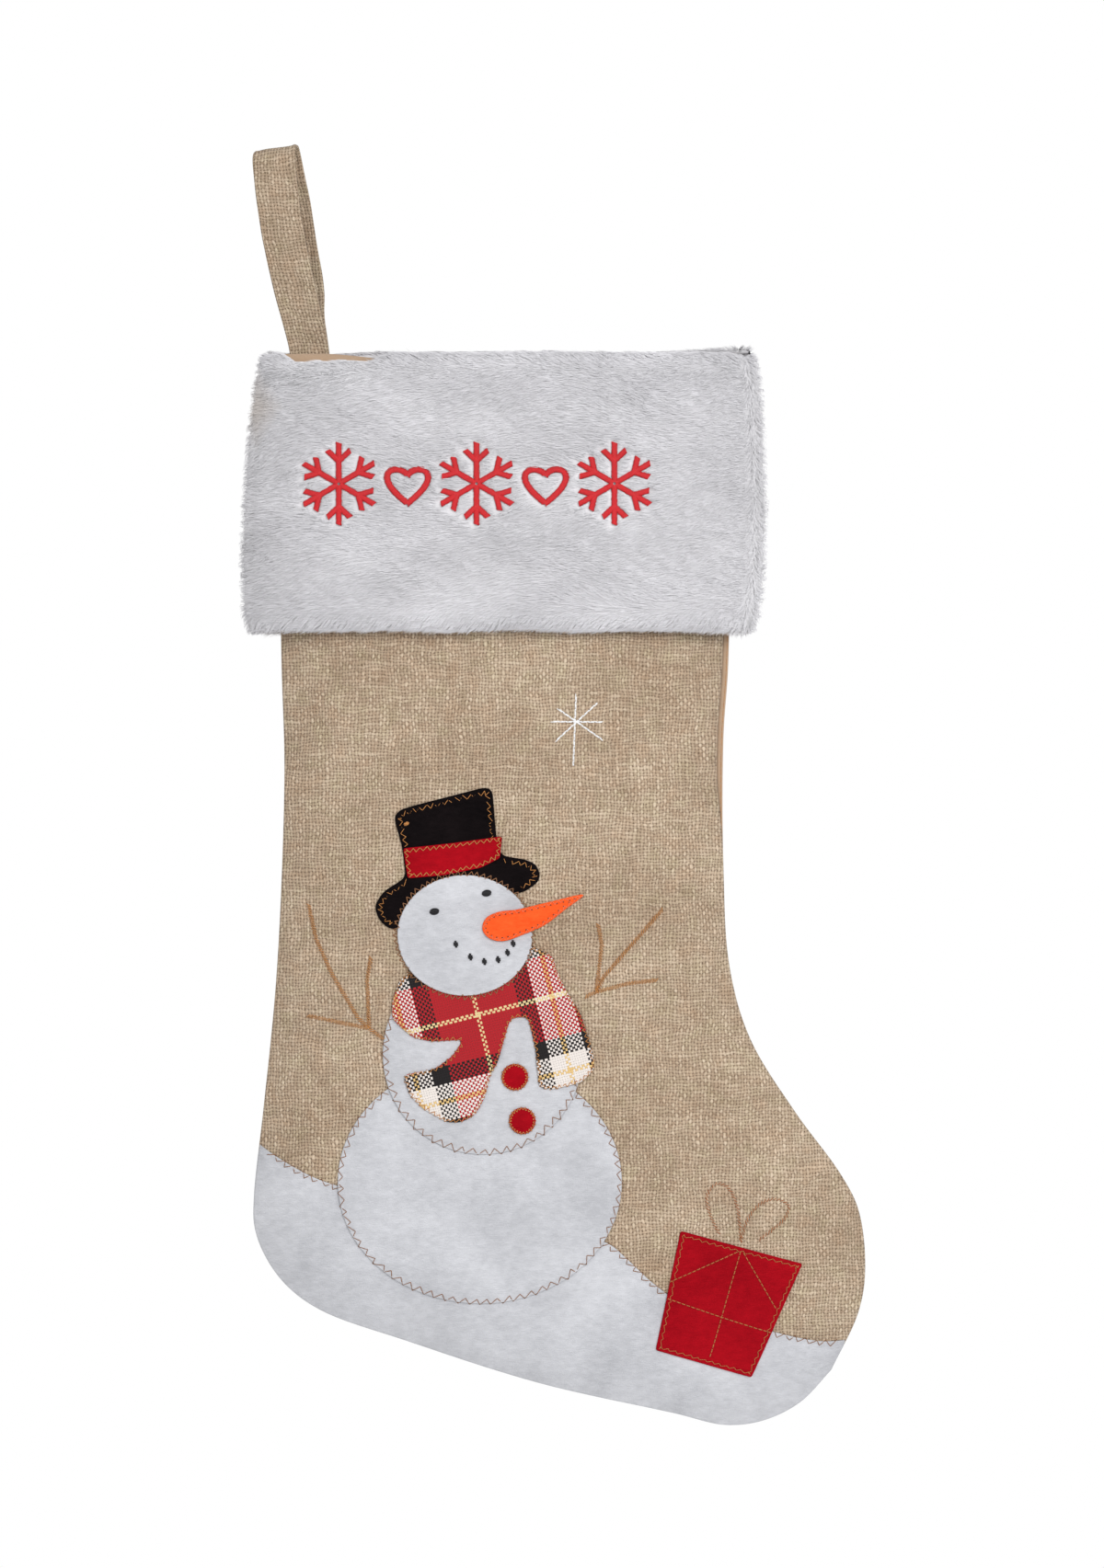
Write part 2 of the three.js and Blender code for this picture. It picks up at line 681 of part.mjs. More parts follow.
add('hanging_loop', makeHangingLoop(), hessian);
add('loop_tab', makeLoopTab(), hessian);
add('loop_bartack', makeLoopBartack(), tanThread);

add('front_panel', panelFront, hessian);
add('front_interlining', makeInterlining(), interliningWhite);
add('back_panel', panelBack, suedette);
add('perimeter_stitching', makePerimeterStitching(), tanThread);

add('cuff_front', makeCuffHalf(-1), plush);
add('cuff_back', makeCuffHalf(1), plush);
add('cuff_seam_left', makeCuffSeam(CUFF_SEAM_LEFT_X), whiteThread);
add('cuff_seam_right', makeCuffSeam(CUFF_SEAM_RIGHT_X), whiteThread);

add('snow_ground', felt(prism(snowOutline()), cutters.base, cutters.gift), whiteFelt);
add('snowman_base', felt(cutters.base, cutters.middle), whiteFelt);
add('snowman_middle', felt(cutters.middle, cutters.head, cutters.scarf), whiteFelt);
add('snowman_head', felt(cutters.head, cutters.nose), whiteFelt);
add('scarf', felt(cutters.scarf, cutters.head), plaid);
add('hat', felt(prism(hatOutline()), cutters.head), blackFelt);
add('hat_band', feltOnFelt.intersect(prism(bandOutline())), redFelt);
add('carrot_nose', felt(cutters.nose), orangeFelt);
add('gift_box', felt(cutters.gift), redFelt);

for (const [place, centre] of Object.entries(BUTTON_CENTRES)) {
  const disc = prism(ellipse(centre, BUTTON_RADIUS, BUTTON_RADIUS), 6);
  add(`button_${place}`, feltOnFelt.intersect(disc), redFelt);
}
for (const [place, centre] of Object.entries(EYE_CENTRES)) {
  const spot = prism(ellipse(centre, ...EYE_RADII), 4);
  add(`eye_${place}`, threadOnFelt.intersect(spot), blackThread);
}
MOUTH_STITCHES.forEach((centre, i) => {
  const stitch = prism(ellipse(centre, ...MOUTH_STITCH_RADII), 3);
  add(`mouth_stitch_${i + 1}`, threadOnFelt.intersect(stitch), blackThread);
});

add(
  'twig_arm_left',
  embroidered(threadOnPanel, twigLeftLines(), THREAD_WIDTH, cutters.middle),
  tanThread,
);
add(
  'twig_arm_right',
  embroidered(threadOnPanel, twigRightLines(), THREAD_WIDTH, cutters.middle, cutters.scarf),
  tanThread,
);
add(
  'snowflake',
  embroidered(threadOnPanel, snowflakeLines(), SNOWFLAKE_THREAD_WIDTH),
  whiteThread,
);
add(
  'gift_bow',
  embroidered(threadOnPanel, bowLines(), FINE_THREAD_WIDTH, cutters.gift),
  tanThread,
);
add(
  'gift_ribbon_stitching',
  embroidered(threadOnFelt, ribbonLines(), FINE_THREAD_WIDTH),
  tanThread,
);

CRYSTAL_CENTRES.forEach((centre, i) => {
  const crystal = embroidered(cuffThread, crystalLines(centre), CUFF_THREAD_WIDTH);
  add(`cuff_crystal_${i + 1}`, crystal, redThread);
});
HEART_CENTRES.forEach((centre, i) => {
  const heart = embroidered(cuffThread, [heartLine(centre)], CUFF_THREAD_WIDTH);
  add(`cuff_heart_${i + 1}`, heart, redThread);
});

export default stocking;
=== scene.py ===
"""Looks of the hanging felt-applique stocking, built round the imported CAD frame.

Shapes are worked out in millimetres and become metres when a mesh is made.
+Z is up, the decorated front faces -Y, and the origin is the hook point inside the loop.
"""
import json
import math

import bmesh
import bpy
import numpy as np
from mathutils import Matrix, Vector
from mathutils.geometry import delaunay_2d_cdt


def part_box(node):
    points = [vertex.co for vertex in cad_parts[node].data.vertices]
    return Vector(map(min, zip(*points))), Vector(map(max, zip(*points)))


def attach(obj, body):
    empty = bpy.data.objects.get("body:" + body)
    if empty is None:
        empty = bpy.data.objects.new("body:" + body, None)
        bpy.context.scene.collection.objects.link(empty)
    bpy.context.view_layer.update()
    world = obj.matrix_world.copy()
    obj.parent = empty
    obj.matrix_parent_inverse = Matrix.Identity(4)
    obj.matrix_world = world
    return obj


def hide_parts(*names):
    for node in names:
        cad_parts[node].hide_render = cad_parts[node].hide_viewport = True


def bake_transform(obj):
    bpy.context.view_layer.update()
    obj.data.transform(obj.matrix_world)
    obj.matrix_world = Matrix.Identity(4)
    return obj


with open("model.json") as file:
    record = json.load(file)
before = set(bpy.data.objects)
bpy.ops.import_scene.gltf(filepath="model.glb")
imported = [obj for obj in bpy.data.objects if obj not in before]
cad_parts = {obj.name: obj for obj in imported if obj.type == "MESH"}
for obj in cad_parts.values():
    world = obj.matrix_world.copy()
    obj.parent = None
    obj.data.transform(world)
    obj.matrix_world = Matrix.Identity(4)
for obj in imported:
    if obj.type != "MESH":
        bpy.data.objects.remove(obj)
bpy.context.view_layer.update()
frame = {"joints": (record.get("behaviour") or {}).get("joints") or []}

MM = 0.001
MAP = "cloth_mm"                           # UV map of every piece: places on the flat cloth, in mm


# ---------------------------------------------------------------- sizes taken from the frame

def node_box(name):
    low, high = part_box(name)
    return np.array(low) / MM, np.array(high) / MM


SEAM_Y = float(np.mean([corner[1] for corner in node_box("perimeter_stitching")]))
PANEL_LOW, PANEL_HIGH = node_box("front_panel")
CUFF_LOW, CUFF_HIGH = node_box("cuff_front")
TAB_LOW, TAB_HIGH = node_box("loop_tab")
CUFF_TOP = CUFF_HIGH[2]
CUFF_BOTTOM = CUFF_LOW[2]
HINGE = np.array(frame["joints"][0]["pos_m"]) / MM

BACK_RISE = 1.6                            # lifts the mouth, so that the back shows inside the rim
PANEL_TOP = PANEL_HIGH[2] + BACK_RISE
PANEL_THICKNESS = 0.8
RIPPLE_ROOM = 1.8                          # what ripples and folds may add to the front's fullness
SEAM_GAP = 0.12                            # half the gap between the panels at their seam
FRONT_FULLNESS = SEAM_Y - PANEL_LOW[1] - PANEL_THICKNESS - RIPPLE_ROOM
BACK_FULLNESS = FRONT_FULLNESS - 1.0
FELT = 1.0                                 # felt thickness
SATIN = 0.26                               # radius of embroidery thread
PILE_ROOM = 2.0                            # the plush backing lies this far inside its pile


# ---------------------------------------------------------------- curves and distances, in (x, z)

def unit(vectors):
    """The same directions at length 1."""
    return vectors / np.maximum(np.linalg.norm(vectors, axis=-1, keepdims=True), 1e-9)


def left_of(steps):
    """The unit vector to the left of each step."""
    return unit(np.stack([-steps[:, 1], steps[:, 0]], axis=1))


def points(x, y, z):
    return np.stack(np.broadcast_arrays(x, y, z), axis=-1)


def ring_of(outline):
    """The outline with its first point again at its end."""
    return np.vstack([outline, outline[:1]])


def smooth_curve(places, steps=10, closed=False):
    """A centripetal Catmull-Rom curve through the places."""
    places = np.array(places, float)
    if closed:
        padded = np.vstack([places[-1], places, places[:2]])
    else:
        padded = np.vstack([2 * places[0] - places[1], places, 2 * places[-1] - places[-2]])
    made = []
    for p0, p1, p2, p3 in zip(padded, padded[1:], padded[2:], padded[3:]):
        t0 = 0.0
        t1 = t0 + np.linalg.norm(p1 - p0) ** 0.5
        t2 = t1 + np.linalg.norm(p2 - p1) ** 0.5
        t3 = t2 + np.linalg.norm(p3 - p2) ** 0.5
        t = np.linspace(t1, t2, steps, endpoint=False)[:, None]
        a1 = (t1 - t) / (t1 - t0) * p0 + (t - t0) / (t1 - t0) * p1
        a2 = (t2 - t) / (t2 - t1) * p1 + (t - t1) / (t2 - t1) * p2
        a3 = (t3 - t) / (t3 - t2) * p2 + (t - t2) / (t3 - t2) * p3
        b1 = (t2 - t) / (t2 - t0) * a1 + (t - t0) / (t2 - t0) * a2
        b2 = (t3 - t) / (t3 - t1) * a2 + (t - t1) / (t3 - t1) * a3
        made.append((t2 - t) / (t2 - t1) * b1 + (t - t1) / (t2 - t1) * b2)
    curve = np.vstack(made)
    return curve if closed else np.vstack([curve, places[-1]])


def lengths_along(line):
    return np.concatenate([[0], np.cumsum(np.linalg.norm(np.diff(line, axis=0), axis=1))])


def at_lengths(line, wanted):
    run = lengths_along(line)
    return np.stack([np.interp(wanted, run, line[:, i]) for i in range(line.shape[1])], axis=1)


def evenly(line, spacing, closed=False):
    """The same line with evenly spaced points."""
    line = np.array(line, float)
    if closed:
        line = ring_of(line)
    total = lengths_along(line)[-1]
    count = max(3, round(total / spacing))
    return at_lengths(line, np.linspace(0, total, count, endpoint=not closed))


def filleted(corners, trim):
    """A closed outline with each corner rounded off."""
    corners = np.array(corners, float)
    made = []
    for before, corner, after in zip(np.roll(corners, 1, 0), corners, np.roll(corners, -1, 0)):
        ends = []
        for other in (before, after):
            run = np.linalg.norm(other - corner)
            ends.append(corner + (other - corner) * min(trim, 0.42 * run) / run)
        for t in np.linspace(0, 1, 6):
            made.append((1 - t) ** 2 * ends[0] + 2 * t * (1 - t) * corner + t ** 2 * ends[1])
    return np.array(made)


def ellipse(centre, radius_x, radius_z, steps=120):
    turn = np.linspace(0, 2 * np.pi, steps, endpoint=False)
    return np.stack([centre[0] + radius_x * np.cos(turn), centre[1] + radius_z * np.sin(turn)], axis=1)


def to_lines(x, z, lines):
    """Distance from each place to the nearest line, and how far along that line it is."""
    nearest = np.full(np.shape(x), 1e9)
    along = np.zeros(np.shape(x))
    for line in lines:
        line = np.asarray(line, float)
        run = lengths_along(line)
        for i in range(len(line) - 1):
            ax, az = line[i]
            dx, dz = line[i + 1] - line[i]
            size = max(dx * dx + dz * dz, 1e-12)
            t = np.clip(((x - ax) * dx + (z - az) * dz) / size, 0, 1)
            distance = np.hypot(x - ax - t * dx, z - az - t * dz)
            closer = distance < nearest
            nearest = np.where(closer, distance, nearest)
            along = np.where(closer, run[i] + t * math.sqrt(size), along)
    return nearest, along


def edge_distance(x, z, outline):
    return to_lines(x, z, [ring_of(outline)])[0]


def is_inside(x, z, outline):
    odd = np.zeros(np.shape(x), bool)
    for (ax, az), (bx, bz) in zip(outline, np.roll(outline, -1, axis=0)):
        if az == bz:
            continue
        odd ^= ((az > z) != (bz > z)) & (x < (bx - ax) * (z - az) / (bz - az) + ax)
    return odd


def anticlockwise(outline):
    """The outline turned anticlockwise, and its area."""
    x, z = outline[:, 0], outline[:, 1]
    area = 0.5 * np.sum(x * np.roll(z, -1) - np.roll(x, -1) * z)
    return (outline if area > 0 else outline[::-1]), abs(area)


def step_up(low, high, value):
    """0 below low, 1 above high, smooth between."""
    t = np.clip((value - low) / (high - low), 0, 1)
    return t * t * (3 - 2 * t)


def crowded(count, share=0.6):
    """Fractions from 0 to 1 that crowd towards both ends."""
    t = np.linspace(0, 1, count)
    return share * (1 - np.cos(np.pi * t)) / 2 + (1 - share) * t


def waves(x, z, seed, wavelength, stretch=1.0, count=7):
    """Irregular ripples between about -1 and 1: a sum of seeded plane waves."""
    dice = np.random.default_rng(seed)
    total = np.zeros(np.shape(x))
    for _ in range(count):
        angle = dice.uniform(0, math.pi)
        pace = 2 * math.pi / (wavelength * dice.uniform(0.7, 1.7))
        phase = dice.uniform(0, 2 * math.pi)
        total += np.sin((x * math.cos(angle) / stretch + z * math.sin(angle)) * pace + phase)
    return total / count ** 0.5 / 1.3


# ---------------------------------------------------------------- meshes

SAME_POINT = 1e-6                          # corners nearer than this, in m, are welded


def make_mesh(name, corners, face_groups, material, uv):
    """A mesh object from corners in mm and arrays of faces, each array of one face size."""
    face_groups = [np.asarray(group, np.int32) for group in face_groups if len(group)]
    loops = np.concatenate([group.ravel() for group in face_groups])
    sizes = np.concatenate([np.full(len(group), group.shape[1], np.int32) for group in face_groups])
    starts = np.concatenate([[0], np.cumsum(sizes)[:-1]]).astype(np.int32)
    mesh = bpy.data.meshes.new(name)
    mesh.vertices.add(len(corners))
    mesh.vertices.foreach_set("co", (np.asarray(corners, float) * MM).astype(np.float32).ravel())
    mesh.loops.add(len(loops))
    mesh.loops.foreach_set("vertex_index", loops)
    mesh.polygons.add(len(sizes))
    mesh.polygons.foreach_set("loop_start", starts)
    mesh.polygons.foreach_set("use_smooth", np.ones(len(sizes), bool))
    mesh.update(calc_edges=True)
    layer = mesh.uv_layers.new(name=MAP)
    layer.data.foreach_set("uv", np.asarray(uv, np.float32)[loops].ravel())
    mesh.validate()
    mesh.materials.append(material)
    made = bpy.data.objects.new(name, mesh)
    bpy.context.scene.collection.objects.link(made)
    return made


def rework(piece, change):
    """Edits a piece's mesh, then turns all its faces outwards."""
    work = bmesh.new()
    work.from_mesh(piece.data)
    work.verts.ensure_lookup_table()
    change(work)
    bmesh.ops.recalc_face_normals(work, faces=work.faces)
    work.to_mesh(piece.data)
    work.free()
    return piece


def welded(piece):
    """The piece with the corners that meet at a point merged."""
    return rework(piece, lambda work: bmesh.ops.remove_doubles(work, verts=work.verts, dist=SAME_POINT))


def capped(piece, rings):
    """The piece with one face across each ring of corners."""
    def fill(work):
        for ring in rings:
            work.faces.new([work.verts[i] for i in ring])
    return rework(piece, fill)


def grid_faces(rows, columns, first=0, flip=False, wrap_rows=False):
    """Quads over a grid of rows x columns corners."""
    i, j = np.meshgrid(np.arange(rows if wrap_rows else rows - 1), np.arange(columns - 1), indexing="ij")
    below = (i + 1) % rows
    faces = np.stack([i * columns + j, below * columns + j, below * columns + j + 1,
                      i * columns + j + 1], axis=-1).reshape(-1, 4) + first
    return faces[:, ::-1] if flip else faces


def shell(name, front, back, material, uv):
    """A closed sheet between two grids of corners; front is the side that faces -Y."""
    rows, columns = front.shape[:2]
    size = rows * columns
    faces = [grid_faces(rows, columns), grid_faces(rows, columns, size, flip=True)]
    rim = np.concatenate([
        np.arange(columns), np.arange(1, rows) * columns + columns - 1,
        (rows - 1) * columns + np.arange(columns - 2, -1, -1),
        np.arange(rows - 2, 0, -1) * columns,
    ])
    after = np.roll(rim, -1)
    faces.append(np.stack([rim, after, after + size, rim + size], axis=1))
    corners = np.concatenate([front.reshape(-1, 3), back.reshape(-1, 3)])
    return welded(make_mesh(name, corners, faces, material, np.concatenate([uv.reshape(-1, 2)] * 2)))


def tube_parts(path, radius, sides):
    """Corners, side faces, end faces and UV of one tube along a path."""
    path = np.asarray(path, float)
    count = len(path)
    tangent = unit(np.gradient(path, axis=0))
    side = unit(np.cross(tangent, [0.12, -1.0, 0.07]))
    rise = np.cross(side, tangent)
    turn = np.arange(sides) * 2 * np.pi / sides
    ring = np.cos(turn)[:, None] * side[:, None] + np.sin(turn)[:, None] * rise[:, None]
    corners = (path[:, None] + radius * ring).reshape(-1, 3)
    i, j = np.meshgrid(np.arange(count - 1), np.arange(sides), indexing="ij")
    right = (j + 1) % sides
    quads = np.stack([i * sides + j, (i + 1) * sides + j, (i + 1) * sides + right, i * sides + right],
                     axis=-1).reshape(-1, 4)
    start = np.arange(sides)
    caps = np.stack([start, start[::-1] + (count - 1) * sides])
    run = np.repeat(lengths_along(path), sides)
    uv = np.stack([run, np.tile(np.arange(sides) * radius * 1.2, count)], axis=1)
    return corners, quads, caps, uv


def tubes(name, paths, radius, material, sides=5):
    """One object made of closed tubes of thread along several paths."""
    corners, quads, caps, uvs = [], [], [], []
    first = 0
    for n, path in enumerate(paths):
        tube, tube_quads, tube_caps, uv = tube_parts(path, radius, sides)
        corners.append(tube)
        quads.append(tube_quads + first)
        caps.append(tube_caps + first)
        uvs.append(uv + [13.7 * n, 0])     # so that no two threads show the same shades
        first += len(tube)
    groups = [np.concatenate(quads), np.concatenate(caps)]
    return make_mesh(name, np.concatenate(corners), groups, material, np.concatenate(uvs))


# ---------------------------------------------------------------- materials

def rgb(red, green, blue):
    """An sRGB colour, 0 to 255, as the linear colour that shaders take."""
    def linear(part):
        part /= 255
        return part / 12.92 if part <= 0.04045 else ((part + 0.055) / 1.055) ** 2.4
    return (linear(red), linear(green), linear(blue), 1.0)


class Value:
    """What flows from one node to the next: +, -, * and / each make a Math node."""

    def __init__(self, shader, socket):
        self.shader = shader
        self.socket = socket

    def __add__(self, other):
        return self.shader.math("ADD", self, other)

    def __sub__(self, other):
        return self.shader.math("SUBTRACT", self, other)

    def __rsub__(self, other):
        return self.shader.math("SUBTRACT", other, self)

    def __mul__(self, other):
        return self.shader.math("MULTIPLY", self, other)

    def __truediv__(self, other):
        return self.shader.math("DIVIDE", self, other)


class Shader:
    """A short way to write a node material: every method returns the Value it makes."""

    def __init__(self, name):
        self.material = bpy.data.materials.new(name)
        self.material.use_nodes = True
        self.tree = self.material.node_tree
        self.tree.nodes.clear()
        self.place = self.node("ShaderNodeUVMap", "UV", {}, uv_map=MAP)

    def node(self, kind, output, inputs, **settings):
        """A new node's output, with values or plain numbers plugged into its inputs."""
        made = self.tree.nodes.new(kind)
        for key, value in settings.items():
            setattr(made, key, value)
        for key, value in inputs.items():
            if isinstance(value, Value):
                self.tree.links.new(value.socket, made.inputs[key])
            else:
                made.inputs[key].default_value = value
        return Value(self, made.outputs[output])

    def math(self, operation, *values):
        return self.node("ShaderNodeMath", 0, dict(enumerate(values)), operation=operation)

    def axes(self):
        """The two coordinates of the place on the flat cloth, in mm."""
        return [self.node("ShaderNodeSeparateXYZ", axis, {0: self.place}) for axis in (0, 1)]

    def at(self, x, y=0.0, z=0.0):
        return self.node("ShaderNodeCombineXYZ", 0, {0: x, 1: y, 2: z})

    def noise(self, scale, detail=2.0, stretch=(1, 1, 1), place=None, roughness=0.5):
        moved = self.node("ShaderNodeVectorMath", 0, {0: place or self.place, 1: stretch},
                          operation="MULTIPLY")
        inputs = {"Vector": moved, "Scale": scale, "Detail": detail, "Roughness": roughness}
        return self.node("ShaderNodeTexNoise", "Fac", inputs)

    def ramp(self, value, stops, interpolation="LINEAR"):
        made = self.node("ShaderNodeValToRGB", "Color", {0: value})
        colour_ramp = made.socket.node.color_ramp
        colour_ramp.interpolation = interpolation
        while len(colour_ramp.elements) < len(stops):
            colour_ramp.elements.new(0.5)
        for element, (place, colour) in zip(colour_ramp.elements, stops):
            element.position = place
            element.color = colour
        return made

    def between(self, value, low, high):
        """Value stretched so that low becomes 0 and high becomes 1."""
        return self.node("ShaderNodeMapRange", 0, {0: value, 1: low, 2: high}, clamp=True)

    def spread(self, value, low, high):
        """Value stretched so that 0 becomes low and 1 becomes high."""
        return self.node("ShaderNodeMapRange", 0, {0: value, 3: low, 4: high}, clamp=True)

    def total(self, *shares):
        """The sum of values, each times its share."""
        added = 0.0
        for value, share in shares:
            added = value * share + added
        return added

    def mix(self, share, a, b, blend="MIX"):
        inputs = {0: share, 6: a, 7: b}
        return self.node("ShaderNodeMix", 2, inputs, data_type="RGBA", blend_type=blend)

    def shaded(self, colour, value, low):
        """The colour darkened where value is small, down to the share low."""
        grey = self.spread(value, low, 1.0)
        return self.mix(1.0, colour, self.node("ShaderNodeCombineColor", 0, {0: grey, 1: grey, 2: grey}),
                        "MULTIPLY")

    def finish(self, colour, rough, height, depth_mm, specular=0.2, sheen=0.15):
        """Principled cloth with a bump whose height runs from 0 to 1 over depth_mm.

        rough is a value, with the roughness that it gives at 0 and at 1.
        """
        bump = self.node("ShaderNodeBump", 0, {"Strength": 1.0, "Distance": depth_mm * MM, "Height": height})
        surface = self.node("ShaderNodeBsdfPrincipled", 0, {
            "Base Color": colour, "Roughness": self.spread(*rough), "Normal": bump,
            "Specular IOR Level": specular, "Sheen Weight": sheen, "Sheen Roughness": 0.6,
        })
        out = self.tree.nodes.new("ShaderNodeOutputMaterial")
        self.tree.links.new(surface.socket, out.inputs["Surface"])
        return self.material


YARN_BODY = 0.6                            # height of a yarn's own round section
YARN_SWING = 0.34                          # how far a yarn rises and dips at its crossings


def yarn_shade(shader, number, along, spread):
    """A light or dark streak that runs along one yarn."""
    return shader.noise(1.0, 2, place=shader.at(number * 3.7, along * spread))


def plain_weave(shader, across, along, pitch, wobble, uneven=0.0, thinness=4.4, jitter=0.3,
                weft_bias=0.0):
    """Plain weave: its height, whether the lengthways yarn is on top, and each yarn's number and place.

    wobble bends the rows over long stretches and jitter from one crossing to the next, in yarns.
    uneven is how much the yarns differ in thickness. weft_bias raises the crossways yarns.
    """
    def bend(long_scale, short_scale, stretch):
        slow = (shader.noise(long_scale, 4, stretch) - 0.5) * wobble
        quick = (shader.noise(short_scale, 2, stretch) - 0.5) * jitter
        return slow + quick

    a = across / pitch + bend(0.05, 0.41, (1, 1, 1))
    b = along / pitch + bend(0.06, 0.37, (1, 1.3, 1))
    warp, weft = shader.math("FLOOR", a), shader.math("FLOOR", b)
    fatter = (yarn_shade(shader, warp, b, 0.4) - yarn_shade(shader, weft, a, 0.4)) * uneven

    def hump(place, over_place, number, sign):
        within = shader.math("FRACT", place) - 0.5
        section = 1.0 - within * within * thinness
        swing = shader.math("COSINE", (over_place - 0.5 + number) * math.pi)
        return section * YARN_BODY + swing * (YARN_SWING * sign)

    warp_height = hump(a, b, warp, 1) + fatter
    weft_height = hump(b, a, weft, -1) - fatter + weft_bias
    height = shader.math("MAXIMUM", warp_height, weft_height)
    warp_on_top = shader.math("GREATER_THAN", warp_height, weft_height)
    return height, warp_on_top, warp, weft, a, b


HESSIAN_PITCH = 1.39                       # from one yarn to the next
# dark, middle and light yarn tones, then the dark colour painted into the gaps between the yarns as shade
HESSIAN_COLOURS = ((137, 116, 95), (170, 150, 128), (206, 188, 166), (100, 82, 63))


def hessian_material(name, tone=1.0):
    """Coarse plain weave of uneven tan yarns, with painted highlights on the yarns' crowns and painted shade
    in the gaps between them. tone lightens or darkens all of it.
    """
    shader = Shader(name)
    dark, middle, light, pit = (rgb(*(tone * part for part in colour)) for colour in HESSIAN_COLOURS)
    x, z = shader.axes()
    height, warp_on_top, warp, weft, a, b = plain_weave(
        shader, x, z, HESSIAN_PITCH, wobble=3.2, uneven=0.3, thinness=6.2, jitter=0.85)
    warp_shade = yarn_shade(shader, warp, b, 0.16)
    weft_shade = yarn_shade(shader, weft + 431.0, a, 0.12)
    shade = shader.node("ShaderNodeMix", 0, {0: warp_on_top, 2: weft_shade, 3: warp_shade})
    fibre = shader.noise(2.6, 3)
    patch = shader.noise(0.03, 3)
    # painted highlight and shade: the tops of the yarns are lightened and their sides darkened
    crown_highlight = shader.between(height, 0.35, 0.95)
    streaks = shader.total((shade - 0.5, 0.8), (fibre - 0.5, 0.5), (patch - 0.5, 0.35),
                           (crown_highlight - 0.5, 0.14), (warp_on_top - 0.5, 0.08))
    colour = shader.ramp(streaks + 0.5, [(0.22, dark), (0.5, middle), (0.78, light)])
    cast = shader.noise(0.13, 3, place=shader.at(x, z, 40.0))
    greenish, plain, reddish = rgb(252, 255, 249), rgb(255, 255, 255), rgb(255, 250, 246)
    tint = shader.ramp(cast, [(0.32, greenish), (0.5, plain), (0.68, reddish)])
    colour = shader.mix(1.0, colour, tint, "MULTIPLY")
    # painted shade: where the weave dips low between the yarns, the colour turns to the dark gap colour,
    # less so where the noise closes the weave
    closed = shader.between(shader.noise(0.42, 3, roughness=0.6), 0.36, 0.62)
    free_of_gap_shade = shader.math("MAXIMUM", shader.between(height, 0.0, 0.5), closed * 0.7)
    colour = shader.mix(free_of_gap_shade, pit, colour)
    return shader.finish(colour, (fibre, 0.82, 1.0), height + fibre * 0.25, 0.34,
                         specular=0.15, sheen=0.12)


def felt_material(name, colour, light, sheen=0.0):
    """Needled felt: a mat of short fibres with soft, cloudy patches."""
    shader = Shader(name)
    cloud = shader.noise(0.035, 3)
    patch = shader.noise(0.3, 4, (0.7, 1.3, 1), roughness=0.6)
    fibres = shader.noise(1.7, 4, (1, 1.6, 1), roughness=0.75)
    long_fibres = shader.noise(1.1, 3, (0.35, 2.4, 1))
    shade = shader.total((cloud, 0.35), (patch, 0.25), (fibres, 0.2), (long_fibres, 0.2))
    tone = shader.ramp(shade, [(0.4, rgb(*colour)), (0.6, rgb(*light))])
    return shader.finish(tone, (fibres, 0.86, 1.0), fibres + long_fibres * 0.8, 0.22,
                         specular=0.03, sheen=sheen)


def suedette_material():
    """Short brushed nap, a little cloudy."""
    shader = Shader("suedette_nap")
    cloud = shader.noise(0.018, 3)
    nap = shader.noise(2.2, 4, (1, 0.6, 1), roughness=0.7)
    shade = shader.total((cloud, 0.4), (nap, 0.6))
    tone = shader.ramp(shade, [(0.3, rgb(164, 137, 112)), (0.7, rgb(184, 157, 131))])
    return shader.finish(tone, (nap, 0.8, 0.98), nap, 0.16, specular=0.12, sheen=0.35)


def interlining_material():
    """Non-woven cloth: long fibres pressed flat."""
    shader = Shader("interlining_fleece")
    fibres = shader.noise(0.9, 5, (0.4, 1.8, 1), roughness=0.8)
    tone = shader.ramp(fibres, [(0.35, rgb(206, 202, 194)), (0.65, rgb(232, 229, 222))])
    return shader.finish(tone, (fibres, 0.85, 1.0), fibres, 0.2)


TARTAN_TURN = math.radians(14)
TARTAN_ORIGIN = (84.5, -360.4)
TARTAN_PITCH = 1.02
TARTAN_HALF = 32.0                         # the colours mirror after this many mm
TARTAN_SETT = [                            # where each colour starts, in mm from the mirror line
    (0.0, (222, 196, 144)), (1.0, (168, 18, 29)), (17.0, (16, 10, 12)), (24.0, (226, 218, 212)),
    (31.0, (220, 186, 126)),
]


def plaid_material():
    """A tartan of cream, red, black, white and yellow yarns in plain weave, turned on the cloth."""
    shader = Shader("plaid_weave")
    x, z = shader.axes()
    x = x - TARTAN_ORIGIN[0]
    z = z - TARTAN_ORIGIN[1]
    cosine, sine = math.cos(TARTAN_TURN), math.sin(TARTAN_TURN)
    u = x * cosine + z * sine
    v = z * cosine - x * sine
    height, warp_on_top, warp, weft, _, _ = plain_weave(shader, u, v, TARTAN_PITCH, wobble=0.25,
                                                        weft_bias=0.11)
    stops = [(start / TARTAN_HALF, rgb(*colour)) for start, colour in TARTAN_SETT]

    def yarn_colour(number):
        distance = shader.math("ABSOLUTE", (number + 0.5) * TARTAN_PITCH)
        folded = shader.math("PINGPONG", distance, TARTAN_HALF)
        return shader.ramp(folded / TARTAN_HALF, stops, "CONSTANT")

    colour = shader.mix(warp_on_top, yarn_colour(weft), yarn_colour(warp))
    fibre = shader.noise(3.0, 3)
    colour = shader.shaded(colour, shader.between(fibre, 0.2, 0.6), 0.72)
    # painted shade: the colour darkens where the yarns dip low between their crossings
    colour = shader.shaded(colour, shader.between(height, 0.05, 0.5), 0.45)
    return shader.finish(colour, (fibre, 0.8, 0.98), height, 0.3, specular=0.15, sheen=0.2)


